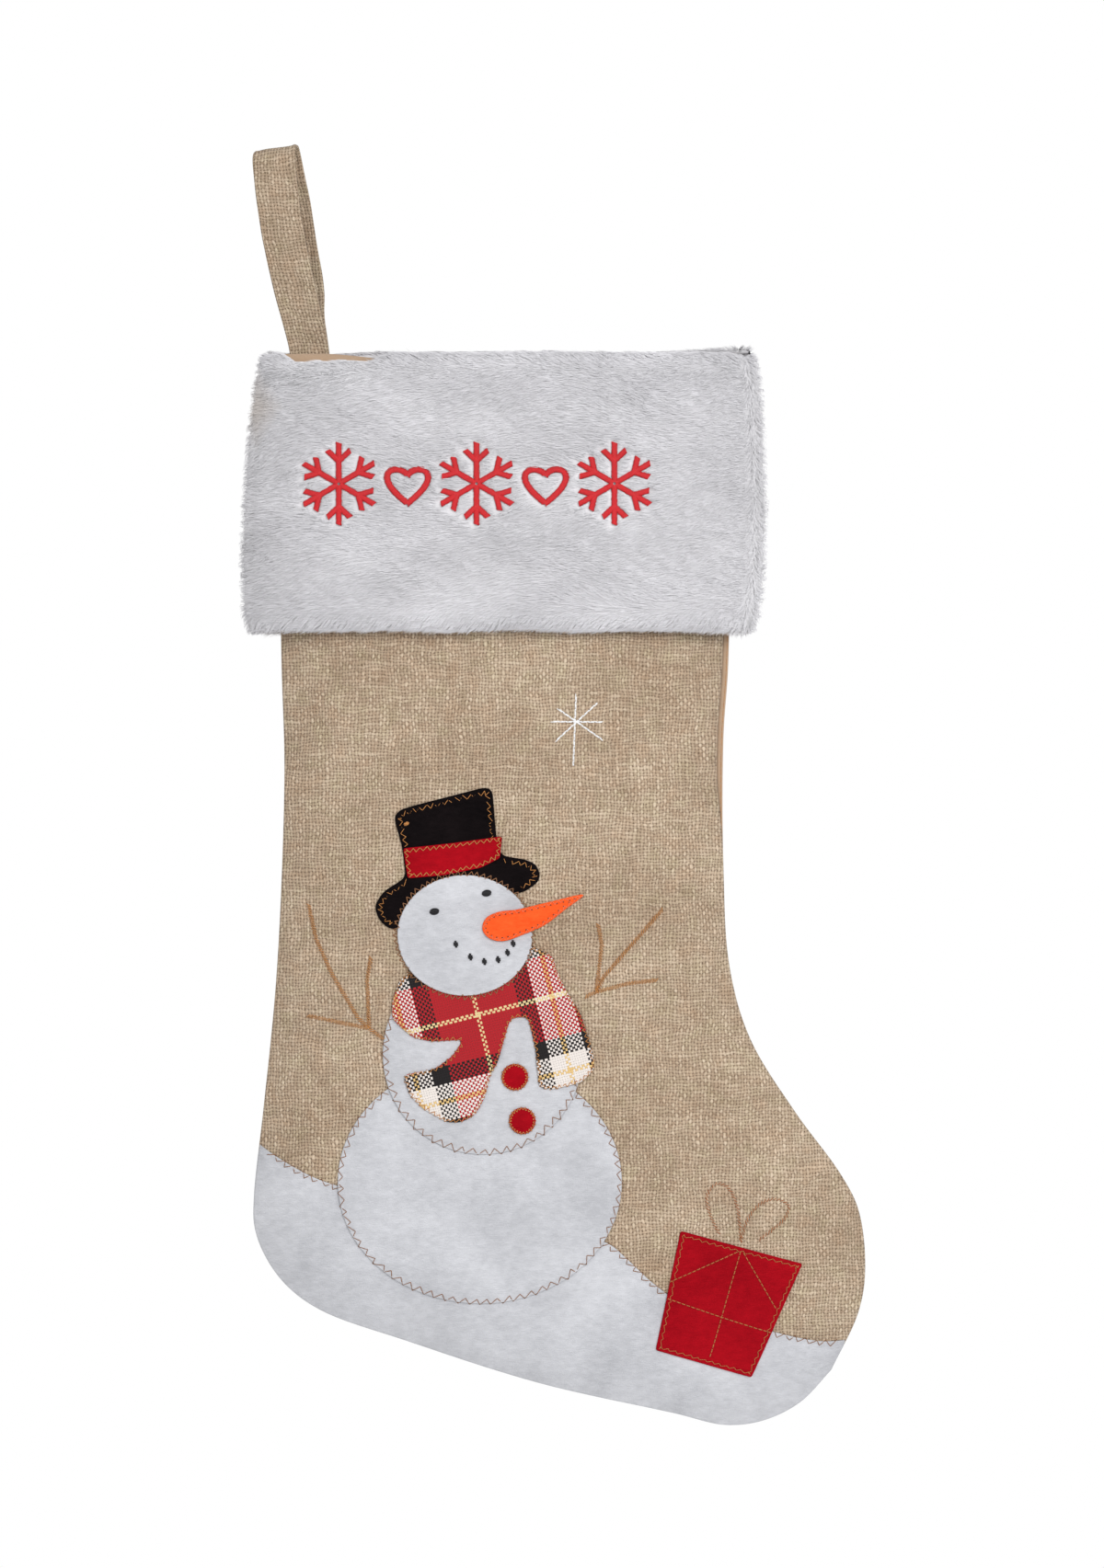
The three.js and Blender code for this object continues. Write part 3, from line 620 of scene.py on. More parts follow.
def thread_material(name, colour, light, sheen=0.3):
    """Twisted thread: fine slanting plies along it."""
    shader = Shader(name)
    run, round_it = shader.axes()
    ply = shader.math("SINE", run * 9.0 + round_it * 6.0) * 0.5 + 0.5
    uneven = shader.noise(0.9, 3)
    shade = shader.total((ply, 0.4), (uneven, 0.6))
    tone = shader.ramp(shade, [(0.25, rgb(*colour)), (0.75, rgb(*light))])
    return shader.finish(tone, (uneven, 0.35, 0.65), ply, 0.06, specular=0.4, sheen=sheen)


LEFT_TAN_PATCH = (-8.0, -108.0)                   # middle of a faint tan patch on the cuff's left side


def plush_material(name, dark, light):
    """White pile with painted cool shade in cloudy patches, and a faint tan patch on the left side."""
    shader = Shader(name)
    x, z = shader.axes()
    # painted shade: the large cloudy noise darkens the pile to cool grey patches
    cloud = shader.noise(0.035, 3, (0.7, 1.3, 1))
    streak = shader.noise(0.8, 3, (0.3, 2.0, 1))
    shade = shader.total((cloud, 0.6), (streak, 0.4))
    tone = shader.ramp(shade, [(0.34, rgb(*dark)), (0.62, rgb(*light))])
    # a faint tan patch, darker than the pile, round this place on the cuff's left side
    side = shader.math("ABSOLUTE", x - LEFT_TAN_PATCH[0])
    level = shader.math("ABSOLUTE", z - LEFT_TAN_PATCH[1])
    tan = (1.0 - shader.between(side / 9.0 + level / 14.0, 0.2, 1.4)) * 0.55
    tone = shader.mix(tan, tone, rgb(206, 194, 182))
    return shader.finish(tone, (streak, 0.8, 1.0), streak, 0.25, specular=0.08, sheen=0.25)


HESSIAN = hessian_material("hessian_weave")
STRAP_HESSIAN = hessian_material("hessian_strap_weave", tone=0.95)
SUEDETTE = suedette_material()
INTERLINING = interlining_material()
PLAID = plaid_material()
WHITE_FELT = felt_material("white_felt_mat", (172, 173, 178), (200, 201, 206), sheen=0.1)
BLACK_FELT = felt_material("black_felt_mat", (9, 7, 8), (22, 17, 18))
RED_FELT = felt_material("red_felt_mat", (134, 8, 20), (164, 14, 27))
ORANGE_FELT = felt_material("orange_felt_mat", (226, 76, 30), (246, 102, 48))
TAN_THREAD = thread_material("tan_thread_ply", (146, 88, 34), (206, 142, 70), sheen=0.1)
DARK_TAN_THREAD = thread_material("brown_thread_ply", (104, 66, 38), (158, 108, 66), sheen=0.1)
RUST_THREAD = thread_material("rust_thread_ply", (126, 62, 22), (190, 112, 50), sheen=0.1)
# painted shade for the carrot's needle holes
NEEDLE_HOLE_SHADE = thread_material("needle_hole_shade_ply", (70, 34, 22), (104, 52, 30), sheen=0.0)
ORANGE_THREAD = thread_material("orange_thread_ply", (214, 84, 30), (236, 118, 60))
BLACK_THREAD = thread_material("black_thread_ply", (10, 9, 12), (26, 24, 30), sheen=0.0)
WHITE_THREAD = thread_material("white_thread_ply", (222, 221, 222), (246, 246, 248))
RED_THREAD = thread_material("red_thread_ply", (168, 14, 24), (214, 30, 38), sheen=0.05)
# painted shade: the backing takes darker copies of the pile's colours, as if shaded by the pile over it
PLUSH_BACKING = plush_material("plush_backing", (196, 195, 198), (214, 213, 216))
PLUSH_PILE = plush_material("plush_pile", (206, 205, 209), (227, 226, 230))


# ---------------------------------------------------------------- the pouch

TOE = (232, -510)
HEEL_SIDE = smooth_curve([
    (0.5, PANEL_TOP), (1, -150), (2, -215), (3.2, -255), (2.2, -300), (-0.5, -350),
    (-5.5, -400), (-9.5, -437), (-9.3, -450), (-5, -462), (4, -474.5), (18.5, -485),
    (55, -498), (110, -515.5), (166, -528), (188, -533), (204, -531), (219, -523.5), TOE,
])
INSTEP_SIDE = smooth_curve([
    (190, PANEL_TOP), (190, -150), (189, -215), (187, -245), (187, -300), (189.5, -341),
    (198, -371), (217, -402), (236, -428), (243.5, -443), (246.3, -468), (243.4, -486), TOE,
])
ABOVE_MOUTH = np.array([(0, 60.0)])        # the seam lines go on this far above the mouth
SEAM_LINES = [np.vstack([line[:1] + ABOVE_MOUTH, line]) for line in (HEEL_SIDE, INSTEP_SIDE)]
EDGE_TURN = 1.25                           # radius over which a panel turns into its seam
EDGE_RUN = 3.5                             # distance from the seam at which that turn ends
BELLY_RUN = 17.0                           # distance over which the pouch fills out
PUCKER = 0.38                              # height of the puckers along the seam
PUCKER_PITCH = 10.5
SEAM_ROLL = 2.6                            # how far the instep seam has rolled round to the front
ANKLE = (168, -376)                        # middle of the ankle's folds


def rolled(z):
    """Width of the back panel that shows beside the front one, below the cuff."""
    return SEAM_ROLL * step_up(-296, -256, z) * (1 - step_up(-196, -180, z))


def seam_distance(x, z):
    """Distance to the seam, rounded off between its two sides, and the place along it."""
    heel, heel_run = to_lines(x, z, SEAM_LINES[:1])
    instep, instep_run = to_lines(x, z, SEAM_LINES[1:])
    instep = np.maximum(instep - rolled(z), 0)
    both = (np.maximum(heel, 1e-3) ** -4.0 + np.maximum(instep, 1e-3) ** -4.0) ** -0.25
    return both, np.where(heel < instep, heel_run, instep_run + 5.0)


def panel_depth(x, z, fullness):
    """How far the inside of a panel stands from the seam plane."""
    distance, run = seam_distance(x, z)
    turned = EDGE_TURN * np.sqrt(1 - (1 - np.clip(distance / EDGE_RUN, 0, 1)) ** 2)
    belly = fullness * (1 - np.exp(-(distance / BELLY_RUN) ** 1.2))
    phase = 2 * math.pi * run / PUCKER_PITCH + 2.2 * np.sin(run / 23)
    pucker = PUCKER * np.sin(phase) * np.exp(-distance / 5.5)
    slack = step_up(4, 26, distance)
    ripples = 0.75 * waves(x, z, 11, 95) + 0.28 * waves(x, z, 12, 34)
    ankle = np.exp(-((x - ANKLE[0]) / 40) ** 2 - ((z - ANKLE[1]) / 34) ** 2)
    folds = 0.9 * ankle * np.sin((x * 0.55 - z * 0.83) / 5.2 + 1.2 * waves(x, z, 13, 60))
    return turned + belly + np.minimum(1, distance / 2) * pucker + slack * (ripples + folds)


def front_y(x, z, lift=0.0):
    """The outer face of the front panel, raised by lift."""
    return SEAM_Y - SEAM_GAP - panel_depth(x, z, FRONT_FULLNESS) - PANEL_THICKNESS - lift


def pouch_net(rows, columns, is_front, raised):
    """Places (x, z) over the outline, in rows from the mouth, raised by some mm, to the toe."""
    down = 1 - (1 - np.linspace(0, 1, rows)) ** 1.25
    left, right = (at_lengths(line, down * lengths_along(line)[-1]) for line in (HEEL_SIDE, INSTEP_SIDE))
    if is_front:
        right = right - np.stack([rolled(right[:, 1]), np.zeros(rows)], axis=1)
    across = crowded(columns)[None, :, None]
    net = left[:, None] * (1 - across) + right[:, None] * across
    lowered = 0.0 if is_front else 1.8 * step_up(20, 46, net[..., 0]) * (1 - step_up(46, 70, net[..., 0]))
    net[..., 1] += (raised - lowered) * step_up(PANEL_TOP - 40, PANEL_TOP, net[..., 1])
    return net


ROOT_COVER = 0.95                          # the back panel lies this far forward over the loop's root


def over_root(x, z):
    """How far the back panel is drawn forward, from 0 to 1, where it covers the loop's root."""
    return step_up(-1, 5, x) * (1 - step_up(34, 58, x)) * step_up(-134, -96, z)


def panel(name, side, fullness, material, raised):
    """One closed panel of the pouch. side is -1 for the front and +1 for the back."""
    net = pouch_net(210, 112, side < 0, raised)
    x, z = net[..., 0], net[..., 1]
    depth = SEAM_GAP + panel_depth(x, z, fullness)
    if side > 0:
        forward = over_root(x, z)
        depth = depth * (1 - forward) - ROOT_COVER * forward
    near = points(x, SEAM_Y + side * depth, z)
    far = points(x, SEAM_Y + side * (depth + PANEL_THICKNESS), z)
    front, back = (far, near) if side < 0 else (near, far)
    return shell(name, front, back, material, net)


LINING_INSET = 5.0                         # how far the interlining is cut back from the seam
LINING_GAP = 0.25                          # and how far it lies behind the front panel
LINING_THICKNESS = 0.5
POUCH_MIDDLE = np.array([100.0, -300.0])


def make_interlining():
    """The backing inside the front panel, cut back from the seam."""
    net = pouch_net(90, 48, True, raised=-14.0)
    distance, _ = to_lines(net[..., 0], net[..., 1], [HEEL_SIDE, INSTEP_SIDE])
    pull = np.clip(LINING_INSET - distance, 0, LINING_INSET)[..., None]
    net = net + unit(POUCH_MIDDLE - net) * pull
    x, z = net[..., 0], net[..., 1]
    depth = SEAM_GAP + panel_depth(x, z, FRONT_FULLNESS) - LINING_GAP
    near = points(x, SEAM_Y - depth, z)
    far = points(x, SEAM_Y - depth + LINING_THICKNESS, z)
    return shell("interlining_fleece", near, far, INTERLINING, net)


def make_perimeter_stitching():
    """Lockstitch in the groove of the seam, from one side of the cuff round the toe to the other."""
    around = np.vstack([HEEL_SIDE, INSTEP_SIDE[::-1][1:]])
    around = around[around[:, 1] < CUFF_BOTTOM + 30]
    run = lengths_along(around)[-1]
    stitch, gap, inset = 2.6, 0.5, 0.75
    bow = 0.06 * np.sin(np.linspace(0, math.pi, 5))
    paths = []
    for start in np.arange(0, run - stitch, stitch + gap):
        line = at_lengths(around, np.linspace(start, start + stitch, 5))
        line = line + left_of(np.gradient(line, axis=0)) * inset
        paths.append(points(line[:, 0], SEAM_Y + bow, line[:, 1]))
    return tubes("seam_stitches", paths, 0.1, TAN_THREAD, 4)


# ---------------------------------------------------------------- felt applique

UNDER_FELT = 0.05                          # gap between a piece of felt and what it lies on


class Relief:
    """How far the felt laid so far raises the front of the pouch, on a fine grid."""

    step = 0.8

    def __init__(self):
        self.x = np.arange(-26, 262, self.step)
        self.z = np.arange(-545, -205, self.step)
        self.lift = np.zeros((len(self.z), len(self.x)))

    def at(self, x, z, lift=None):
        lift = self.lift if lift is None else lift
        column = np.clip((x - self.x[0]) / self.step, 0, len(self.x) - 1.001)
        row = np.clip((z - self.z[0]) / self.step, 0, len(self.z) - 1.001)
        i, j = row.astype(int), column.astype(int)
        s, t = row - i, column - j
        return ((1 - s) * ((1 - t) * lift[i, j] + t * lift[i, j + 1])
                + s * ((1 - t) * lift[i + 1, j] + t * lift[i + 1, j + 1]))

    def draped(self):
        """The height at which cloth laid over all this would lie: it bridges down from each edge."""
        raised = self.lift.copy()
        for _ in range(2):
            for axis in (0, 1):
                raised = np.maximum.reduce([raised, np.roll(raised, 1, axis), np.roll(raised, -1, axis)])
        cells = np.arange(-6, 7)
        weights = np.exp(-(cells * self.step / 2.0) ** 2)
        weights /= weights.sum()
        for axis in (0, 1):
            raised = sum(weight * np.roll(raised, cell, axis) for weight, cell in zip(weights, cells))
        return raised

    def raise_over(self, outline, support):
        """Adds a piece of felt inside the outline: its own height above its support."""
        low, high = outline.min(0) - 2, outline.max(0) + 2
        rows = np.flatnonzero((self.z > low[1]) & (self.z < high[1]))
        columns = np.flatnonzero((self.x > low[0]) & (self.x < high[0]))
        window = np.ix_(rows, columns)
        x, z = np.meshgrid(self.x[columns], self.z[rows])
        raised = support[window] + felt_profile(edge_distance(x, z, outline))
        self.lift[window] = np.where(is_inside(x, z, outline), raised, self.lift[window])


relief = Relief()


def felt_profile(distance):
    """Felt's height above what it lies on: a rounded cut edge, and a dip along the stitching."""
    edge = np.sqrt(1 - (1 - np.clip(distance / 0.55, 0, 1)) ** 2)
    dip = 0.28 * np.exp(-((distance - 1.5) / 0.8) ** 2)
    plump = 0.35 * step_up(1.5, 9, distance)
    return FELT * (0.45 + 0.55 * edge) - dip + plump


def inner_places(outline, spacing=1.8):
    """Places inside an outline: rings near its edge, then an even field."""
    inward = left_of(np.roll(outline, -1, 0) - np.roll(outline, 1, 0))
    kept = []
    for inset in (0.22, 0.55, 1.1, 1.9):
        ring = outline + inward * inset
        distance = edge_distance(ring[:, 0], ring[:, 1], outline)
        kept.append(ring[(distance > 0.97 * inset) & is_inside(ring[:, 0], ring[:, 1], outline)])
    low, high = outline.min(0), outline.max(0)
    rows = np.arange(low[1], high[1], spacing * 0.866)
    x, z = np.meshgrid(np.arange(low[0], high[0], spacing), rows)
    x = x + (np.arange(len(rows)) % 2)[:, None] * spacing / 2
    x, z = x.ravel(), z.ravel()
    field = (edge_distance(x, z, outline) > 2.3) & is_inside(x, z, outline)
    kept.append(np.stack([x[field], z[field]], axis=1))
    return np.vstack(kept)


def lay_felt(name, outline, material):
    """Cuts a piece of felt, lays it on what is there, and returns it with its area and outline."""
    outline, area = anticlockwise(evenly(outline, 0.9, closed=True))
    support = relief.draped()
    places = np.vstack([outline, inner_places(outline)])
    count = len(outline)
    edges = [(i, (i + 1) % count) for i in range(count)]
    found = delaunay_2d_cdt([Vector(place) for place in places], edges, [], 1, 1e-6)
    flat = np.array([(corner.x, corner.y) for corner in found[0]])
    triangles = np.array(found[2], int)
    x, z = flat[:, 0], flat[:, 1]
    under = relief.at(x, z, support) + UNDER_FELT
    top = under + felt_profile(edge_distance(x, z, outline))
    corners = np.concatenate([points(x, front_y(x, z, top), z), points(x, front_y(x, z, under), z)])
    size = len(flat)
    sides = np.concatenate([triangles[:, [0, 1]], triangles[:, [1, 2]], triangles[:, [2, 0]]])
    keys = {tuple(edge) for edge in sides.tolist()}
    border = np.array([edge for edge in keys if (edge[1], edge[0]) not in keys])
    walls = np.stack([border[:, 0], border[:, 1], border[:, 1] + size, border[:, 0] + size], axis=1)
    faces = [triangles, triangles[:, ::-1] + size, walls]
    made = welded(make_mesh(name, corners, faces, material, np.concatenate([flat, flat])))
    relief.raise_over(outline, support + UNDER_FELT)
    return made, area, outline


def surface_path(places):
    """Places on the front of the stocking as a path over whatever lies there."""
    x, z = places[:, 0], places[:, 1]
    return points(x, on_front(x, z), z)


def on_front(x, z):
    return front_y(x, z, relief.at(x, z))


def zigzag(name, outline, pitch, inner, outer, material, keep, radius=0.155, sunk=0.0):
    """Tacking thread in zigzag round a felt edge, between two insets from that edge.

    Only stitches whose middle keep() approves are made, and each may sink into the felt by up to sunk.
    """
    loop = ring_of(outline)
    total = lengths_along(loop)[-1]
    count = 2 * max(3, round(total / pitch))
    run = np.linspace(0, total, count, endpoint=False)
    dice = np.random.default_rng(len(outline))
    inside = np.arange(count) % 2 == 1
    run = run + dice.uniform(-0.13, 0.13, count) * pitch + np.where(inside, 0.14 * pitch, 0)
    base = at_lengths(loop, run % total)
    inward = left_of(at_lengths(loop, (run + 0.4) % total) - at_lengths(loop, (run - 0.4) % total))
    inset = np.where(inside, inner, outer) + dice.uniform(-0.13, 0.13, count) * (inner - outer)
    knots = ring_of(base + inward * inset[:, None])
    t = np.linspace(0, 1, 7)
    paths = []
    for start, end in zip(knots, knots[1:]):
        if keep((start + end) / 2):
            path = surface_path(start + (end - start) * t[:, None])
            path[:, 1] -= 0.24 * np.sin(np.pi * t) ** 0.5 - 0.04 - dice.uniform(0, sunk)
            paths.append(path)
    return tubes(name, paths, radius, material)


HEAD = ellipse((79, -327.5), 28, 25)
MIDDLE = ellipse((86.4, -377), 41.5, 41.5)
BASE = ellipse((85.2, -430), 59, 50.7)
HAT = [
    (49.5, -278.5), (52, -275.5), (56.5, -274), (72, -270), (87.5, -266), (90.5, -267.5),
    (92, -286), (94, -294.5), (104, -296), (108.5, -298), (110.3, -302), (109.5, -305.5),
    (104, -309.5), (92, -312), (75, -314), (60, -318), (52.5, -324), (48, -325.2),
    (43.5, -321.5), (41.3, -315.5), (45, -309.5), (54.5, -303.5), (53, -291),
]
BAND = [
    (53.4, -291.4), (74, -289.2), (94.5, -286.4), (93.6, -295.5),
    (85.6, -299.5), (70, -302.6), (55.3, -303.9),
]
NOSE = [
    (128.3, -310.8), (114, -313.7), (100.6, -316.8), (92.5, -317.9), (87.6, -320.6),
    (86.3, -325), (89, -328.6), (94.6, -329.9), (103, -327.3), (112, -323.4), (121, -316.6),
]
SCARF = [
    (52, -346), (48.8, -355), (48.8, -362), (52.2, -365.5), (57.6, -370), (65, -371.6),
    (78.3, -370.9), (74.1, -377.4), (66.8, -382.8), (53.4, -385.5), (56, -393.5),
    (61.5, -399.3), (71.4, -405), (77.2, -405.2), (83.3, -402), (87.2, -395),
    (89.8, -384.7), (92.5, -380.9), (97.1, -364.7), (98.5, -361.9), (103.7, -361.3),
    (105.6, -362.8), (108.3, -374.7), (109.8, -390.5), (114.8, -391.6), (127.5, -388.6),
    (133.2, -382.6), (132.1, -376.3), (127.5, -361), (121.7, -351.7), (117.1, -342.5),
    (115.6, -336.3), (109.8, -333.3), (100, -330), (70, -335),
]
SNOW_TOP = [
    (-7, -415.5), (0, -420), (14, -427.4), (25.7, -431.6), (60, -440), (110, -448),
    (138.2, -455.4), (146.3, -462), (157.4, -472.3), (172, -482), (207.7, -492.6),
    (216.6, -495), (228, -497.2), (238, -497.3),
]
GIFT = [(168.6, -450.4), (219.3, -464.2), (198.1, -511.5), (158.2, -499.9)]
BUTTONS = {"upper": (99.8, -386.3), "lower": (102.9, -404.4)}
BUTTON_RADIUS = 5.5


def snow_outline():
    """The drift's wavy top, then the seam round the toe and back along the sole to the heel."""
    toe_side = INSTEP_SIDE[INSTEP_SIDE[:, 1] < SNOW_TOP[-1][1] - 1]
    sole = HEEL_SIDE[::-1]
    sole = sole[sole[:, 1] < SNOW_TOP[0][1] - 1]
    return np.vstack([smooth_curve(SNOW_TOP, 6), toe_side, sole[1:]])


def make_felt():
    """Every felt piece in the order it is laid: {CAD node: (object, area in mm2, outline)}."""
    cut = {
        "snow_ground": (snow_outline(), WHITE_FELT, "felt_snow_drift"),
        "snowman_base": (BASE, WHITE_FELT, "felt_snowman_base"),
        "snowman_middle": (MIDDLE, WHITE_FELT, "felt_snowman_middle"),
        "gift_box": (filleted(GIFT, 0.8), RED_FELT, "felt_gift_box"),
        "scarf": (filleted(SCARF, 2.2), PLAID, "plaid_scarf"),
        "hat": (filleted(HAT, 3.0), BLACK_FELT, "felt_hat"),
        "snowman_head": (HEAD, WHITE_FELT, "felt_snowman_head"),
        "hat_band": (filleted(BAND, 1.0), RED_FELT, "felt_hat_band"),
        "carrot_nose": (smooth_curve(NOSE, 6, closed=True), ORANGE_FELT, "felt_carrot_nose"),
    }
    for place, centre in BUTTONS.items():
        disc = ellipse(centre, BUTTON_RADIUS, BUTTON_RADIUS)
        cut[f"button_{place}"] = (disc, RED_FELT, f"felt_button_{place}")
    return {node: lay_felt(name, outline, material) for node, (outline, material, name) in cut.items()}


COVERS = {                                 # what hides part of each piece's edge
    "snow_ground": [BASE, GIFT], "snowman_base": [MIDDLE], "snowman_middle": [HEAD, SCARF],
    "scarf": [HEAD], "hat": [HEAD, BAND], "snowman_head": [NOSE],
}
TACKING = {
    # pitch, then the inner and outer insets of the zigzag from the edge of the felt, its thread,
    # and what differs from an ordinary zigzag
    "snow_ground": (4.4, 1.9, -0.4, DARK_TAN_THREAD, {}),
    "snowman_base": (4.8, 2.1, -0.3, DARK_TAN_THREAD, {}),
    "snowman_middle": (4.8, 2.3, -0.5, DARK_TAN_THREAD, {}),
    "snowman_head": (2.6, 0.4, -1.7, DARK_TAN_THREAD, {"radius": 0.18}),
    "scarf": (2.4, 1.3, -0.2, TAN_THREAD, {}),
    "hat": (3.1, 2.9, 1.1, TAN_THREAD, {"radius": 0.13, "sunk": 0.36}),
    "hat_band": (2.8, 1.9, 0.3, TAN_THREAD, {}),
    "gift_box": (3.2, 2.1, 1.2, RUST_THREAD, {}),
    "carrot_nose": (2.7, 1.4, 0.2, ORANGE_THREAD, {}),
    "button_upper": (1.5, 1.0, -0.2, TAN_THREAD, {}),
    "button_lower": (1.5, 1.0, -0.2, TAN_THREAD, {}),
}


def make_tacking(laid):
    """The zigzag thread of each felt piece, left out where another piece covers the edge."""
    made = []
    for node, (_, _, outline) in laid.items():

        def in_sight(place, node=node):
            at_seam = node == "snow_ground" and seam_distance(*place)[0] < 4
            hidden = any(is_inside(*place, np.array(cover, float)) for cover in COVERS.get(node, []))
            return not (hidden or at_seam)

        pitch, inner, outer, thread, how = TACKING[node]
        made.append(zigzag(f"tacking_{node}", outline, pitch, inner, outer, thread, in_sight, **how))
    return made


def make_needle_hole_shade(outline):
    """Painted shade: dark dots that stand for the shadow in the holes where the carrot's thread dips into
    its felt.
    """
    ring = ring_of(outline)
    run = np.arange(0.8, lengths_along(ring)[-1], TACKING["carrot_nose"][0])
    steps = at_lengths(ring, run + 0.4) - at_lengths(ring, np.maximum(run - 0.4, 0))
    centres = at_lengths(ring, run) + left_of(steps) * 1.45
    paths = [surface_path(np.array([centre - 0.16, centre + 0.16])) for centre in centres]
    return tubes("needle_hole_shade_carrot", paths, 0.27, NEEDLE_HOLE_SHADE, 6)


# ---------------------------------------------------------------- embroidery

def satin_paths(line, width, height_at, seed, spacing=0.42, slant=0.35):
    """Parallel threads laid across a line, each one an arch from edge to edge."""
    total = lengths_along(line)[-1]
    run = np.arange(0, total, spacing)
    dice = np.random.default_rng(seed)
    base = at_lengths(line, run)
    step = at_lengths(line, np.minimum(run + 0.3, total)) - at_lengths(line, np.maximum(run - 0.3, 0))
    across = left_of(step) + slant * unit(step)
    t = np.linspace(-1, 1, 5)
    reach = width / 2 + dice.uniform(-0.12, 0.12, len(run))
    places = base[:, None] + across[:, None] * (t[None, :, None] * reach[:, None, None])
    x, z = places[..., 0], places[..., 1]
    arch = 0.5 * (1 - t ** 2) + dice.uniform(-0.04, 0.04, len(run))[:, None]
    return points(x, height_at(x, z) - arch, z)


def satin(name, lines, width, height_at, material, radius=SATIN, **how):
    paths = [satin_paths(np.array(line, float), width, height_at, seed, **how)
             for seed, line in enumerate(lines)]
    return tubes(name, np.concatenate(paths), radius, material)


def running(name, lines, height_at, material, radius, stitch, gap=0.35, passes=(0,)):
    """Separate stitches end to end along lines, in one or more passes side by side."""
    bow = 0.28 * np.sin(np.linspace(0, np.pi, 5)) ** 0.7
    paths = []
    for line in lines:
        line = np.array(line, float)
        total = lengths_along(line)[-1]
        for n, aside in enumerate(passes):
            for start in np.arange(0.3 + 0.37 * n * stitch % stitch, total - 0.5, stitch):
                place = at_lengths(line, np.linspace(start, min(start + stitch - gap, total), 5))
                place = place + left_of(np.gradient(place, axis=0)) * aside
                x, z = place[:, 0], place[:, 1]
                paths.append(points(x, height_at(x, z) - bow, z))
    return tubes(name, paths, radius, material)


def filled_spot(name, centre, radius_x, radius_z, material, turn):
    """A small satin-stitched oval: upright threads side by side."""
    t = np.linspace(-1, 1, 5)
    paths = []
    for offset in np.linspace(-0.9, 0.9, max(4, round(radius_x * 2 / 0.36))):
        half = radius_z * math.sqrt(1 - offset ** 2)
        x = centre[0] + offset * radius_x + turn * t * half
        z = centre[1] + t * half
        paths.append(points(x, on_front(x, z) - 0.42 * (1 - t ** 2) - 0.1, z))
    return tubes(name, paths, 0.23, material)


TWIG_LEFT = [
    [(13.8, -315.2), (16.9, -329.1), (23.4, -343.3), (34.6, -362), (39.2, -366.3), (45, -370.5)],
    [(39.9, -337.1), (38.4, -346), (39.2, -366.3)],
    [(13.8, -361.3), (22.3, -362.9), (39.2, -366.3)],
]
TWIG_RIGHT = [
    [(160.9, -317.2), (152.8, -326.4), (136.7, -344.8), (133.6, -351), (128.5, -353.4)],
    [(134.4, -323.3), (135.9, -331.8), (133.6, -351)],
    [(158.6, -346.3), (147.5, -347.5), (133.6, -351)],
]
SNOWFLAKE = [
    [(114.4, -238.8), (136.3, -239)], [(117.1, -233.1), (136.3, -246.5)],
    [(116.3, -247.3), (134, -231.1)], [(125.2, -227), (124, -257)],
]
BOW = [
    [(193.6, -454.3), (192, -440), (188.2, -432.4), (183.6, -430.8), (179.7, -435.5),
     (180.5, -442.5), (184.5, -451.5)],
    [(193.6, -454.3), (197, -444.7), (202.4, -438.9), (208.5, -437.4), (213.5, -440),
     (212.4, -444.7), (207.7, -449.3), (201, -454.4)],
]
RIBBONS = [
    [(193.6, -458.6), (180.8, -502.5)], [(162.8, -478.2), (185.1, -485.9), (206, -492.6)],
    [(192.4, -459), (164, -471.6)], [(194.6, -459.2), (208.6, -483.4)],
]
EYES = {"left": (66.4, -317.6), "right": (88.1, -310)}
MOUTH = [(75.3, -331.2), (81.4, -336.4), (87.2, -338.3), (92.9, -337.5), (96.8, -334.6), (99.1, -330.9)]
HAT_KNOT = (54.8, -281.2)                  # where the hat's tacking thread is fastened off


def make_pouch_embroidery():
    """{CAD node: object} for the twigs, snowflake, face and gift threads."""
    made = {}
    for side, lines in (("left", TWIG_LEFT), ("right", TWIG_RIGHT)):
        made[f"twig_arm_{side}"] = satin(f"satin_twig_{side}", lines, 1.6, on_front, TAN_THREAD,
                                         radius=0.19, spacing=1.05, slant=0.95)
    made["snowflake"] = running("stitched_snowflake", SNOWFLAKE, on_front, WHITE_THREAD, radius=0.2,
                                stitch=3.1, gap=0.5, passes=(-0.12, 0.2))
    made["gift_bow"] = satin("stitched_gift_bow", [smooth_curve(line, 8) for line in BOW], 1.2, on_front,
                             RUST_THREAD, radius=0.15, spacing=1.5, slant=1.3)
    made["gift_ribbon_stitching"] = running("stitched_gift_ribbon", RIBBONS, on_front, RUST_THREAD,
                                            radius=0.24, stitch=2.1, gap=0.6)
    for side, centre in EYES.items():
        made[f"eye_{side}"] = filled_spot(f"satin_eye_{side}", centre, 1.9, 1.35, BLACK_THREAD, 0.2)
    for i, centre in enumerate(MOUTH, 1):
        made[f"mouth_stitch_{i}"] = filled_spot(f"satin_mouth_{i}", centre, 0.8, 1.45, BLACK_THREAD, -0.15)
    return made


# ---------------------------------------------------------------- the cuff

CUFF_EDGES = np.array([
    # z, left edge, right edge of the pile
    (CUFF_TOP, -5.5, 199), (-84.5, -7.4, 200.9), (-88, -8.4, 202), (-98, -10, 203.5),
    (-122, -13, 204.8), (-150, -14.8, 205.5), (-175, -15.5, 205), (-193, -14.8, 203),
    (-199.5, -13.4, 201), (CUFF_BOTTOM, -11.5, 199),
])[::-1]
CUFF_BODY = SEAM_Y - PANEL_LOW[1]          # how deep the pouch fills the cuff
CUFF_COVER = -CUFF_LOW[1] + SEAM_Y - CUFF_BODY - PILE_ROOM
CUFF_GAP = 0.08                            # half the gap between the two halves of the cuff
SIDE_INSET = PILE_ROOM * 0.8               # the backing lies this far inside the pile at the sides
BACK_INSET = 1.4                           # the front half of the cuff is this much wider on each side
RIM_DIP = 3.7                              # how far the front of the rim dips beside the loop
PRESSED = 0.9                              # how deep the embroidery presses into the plush

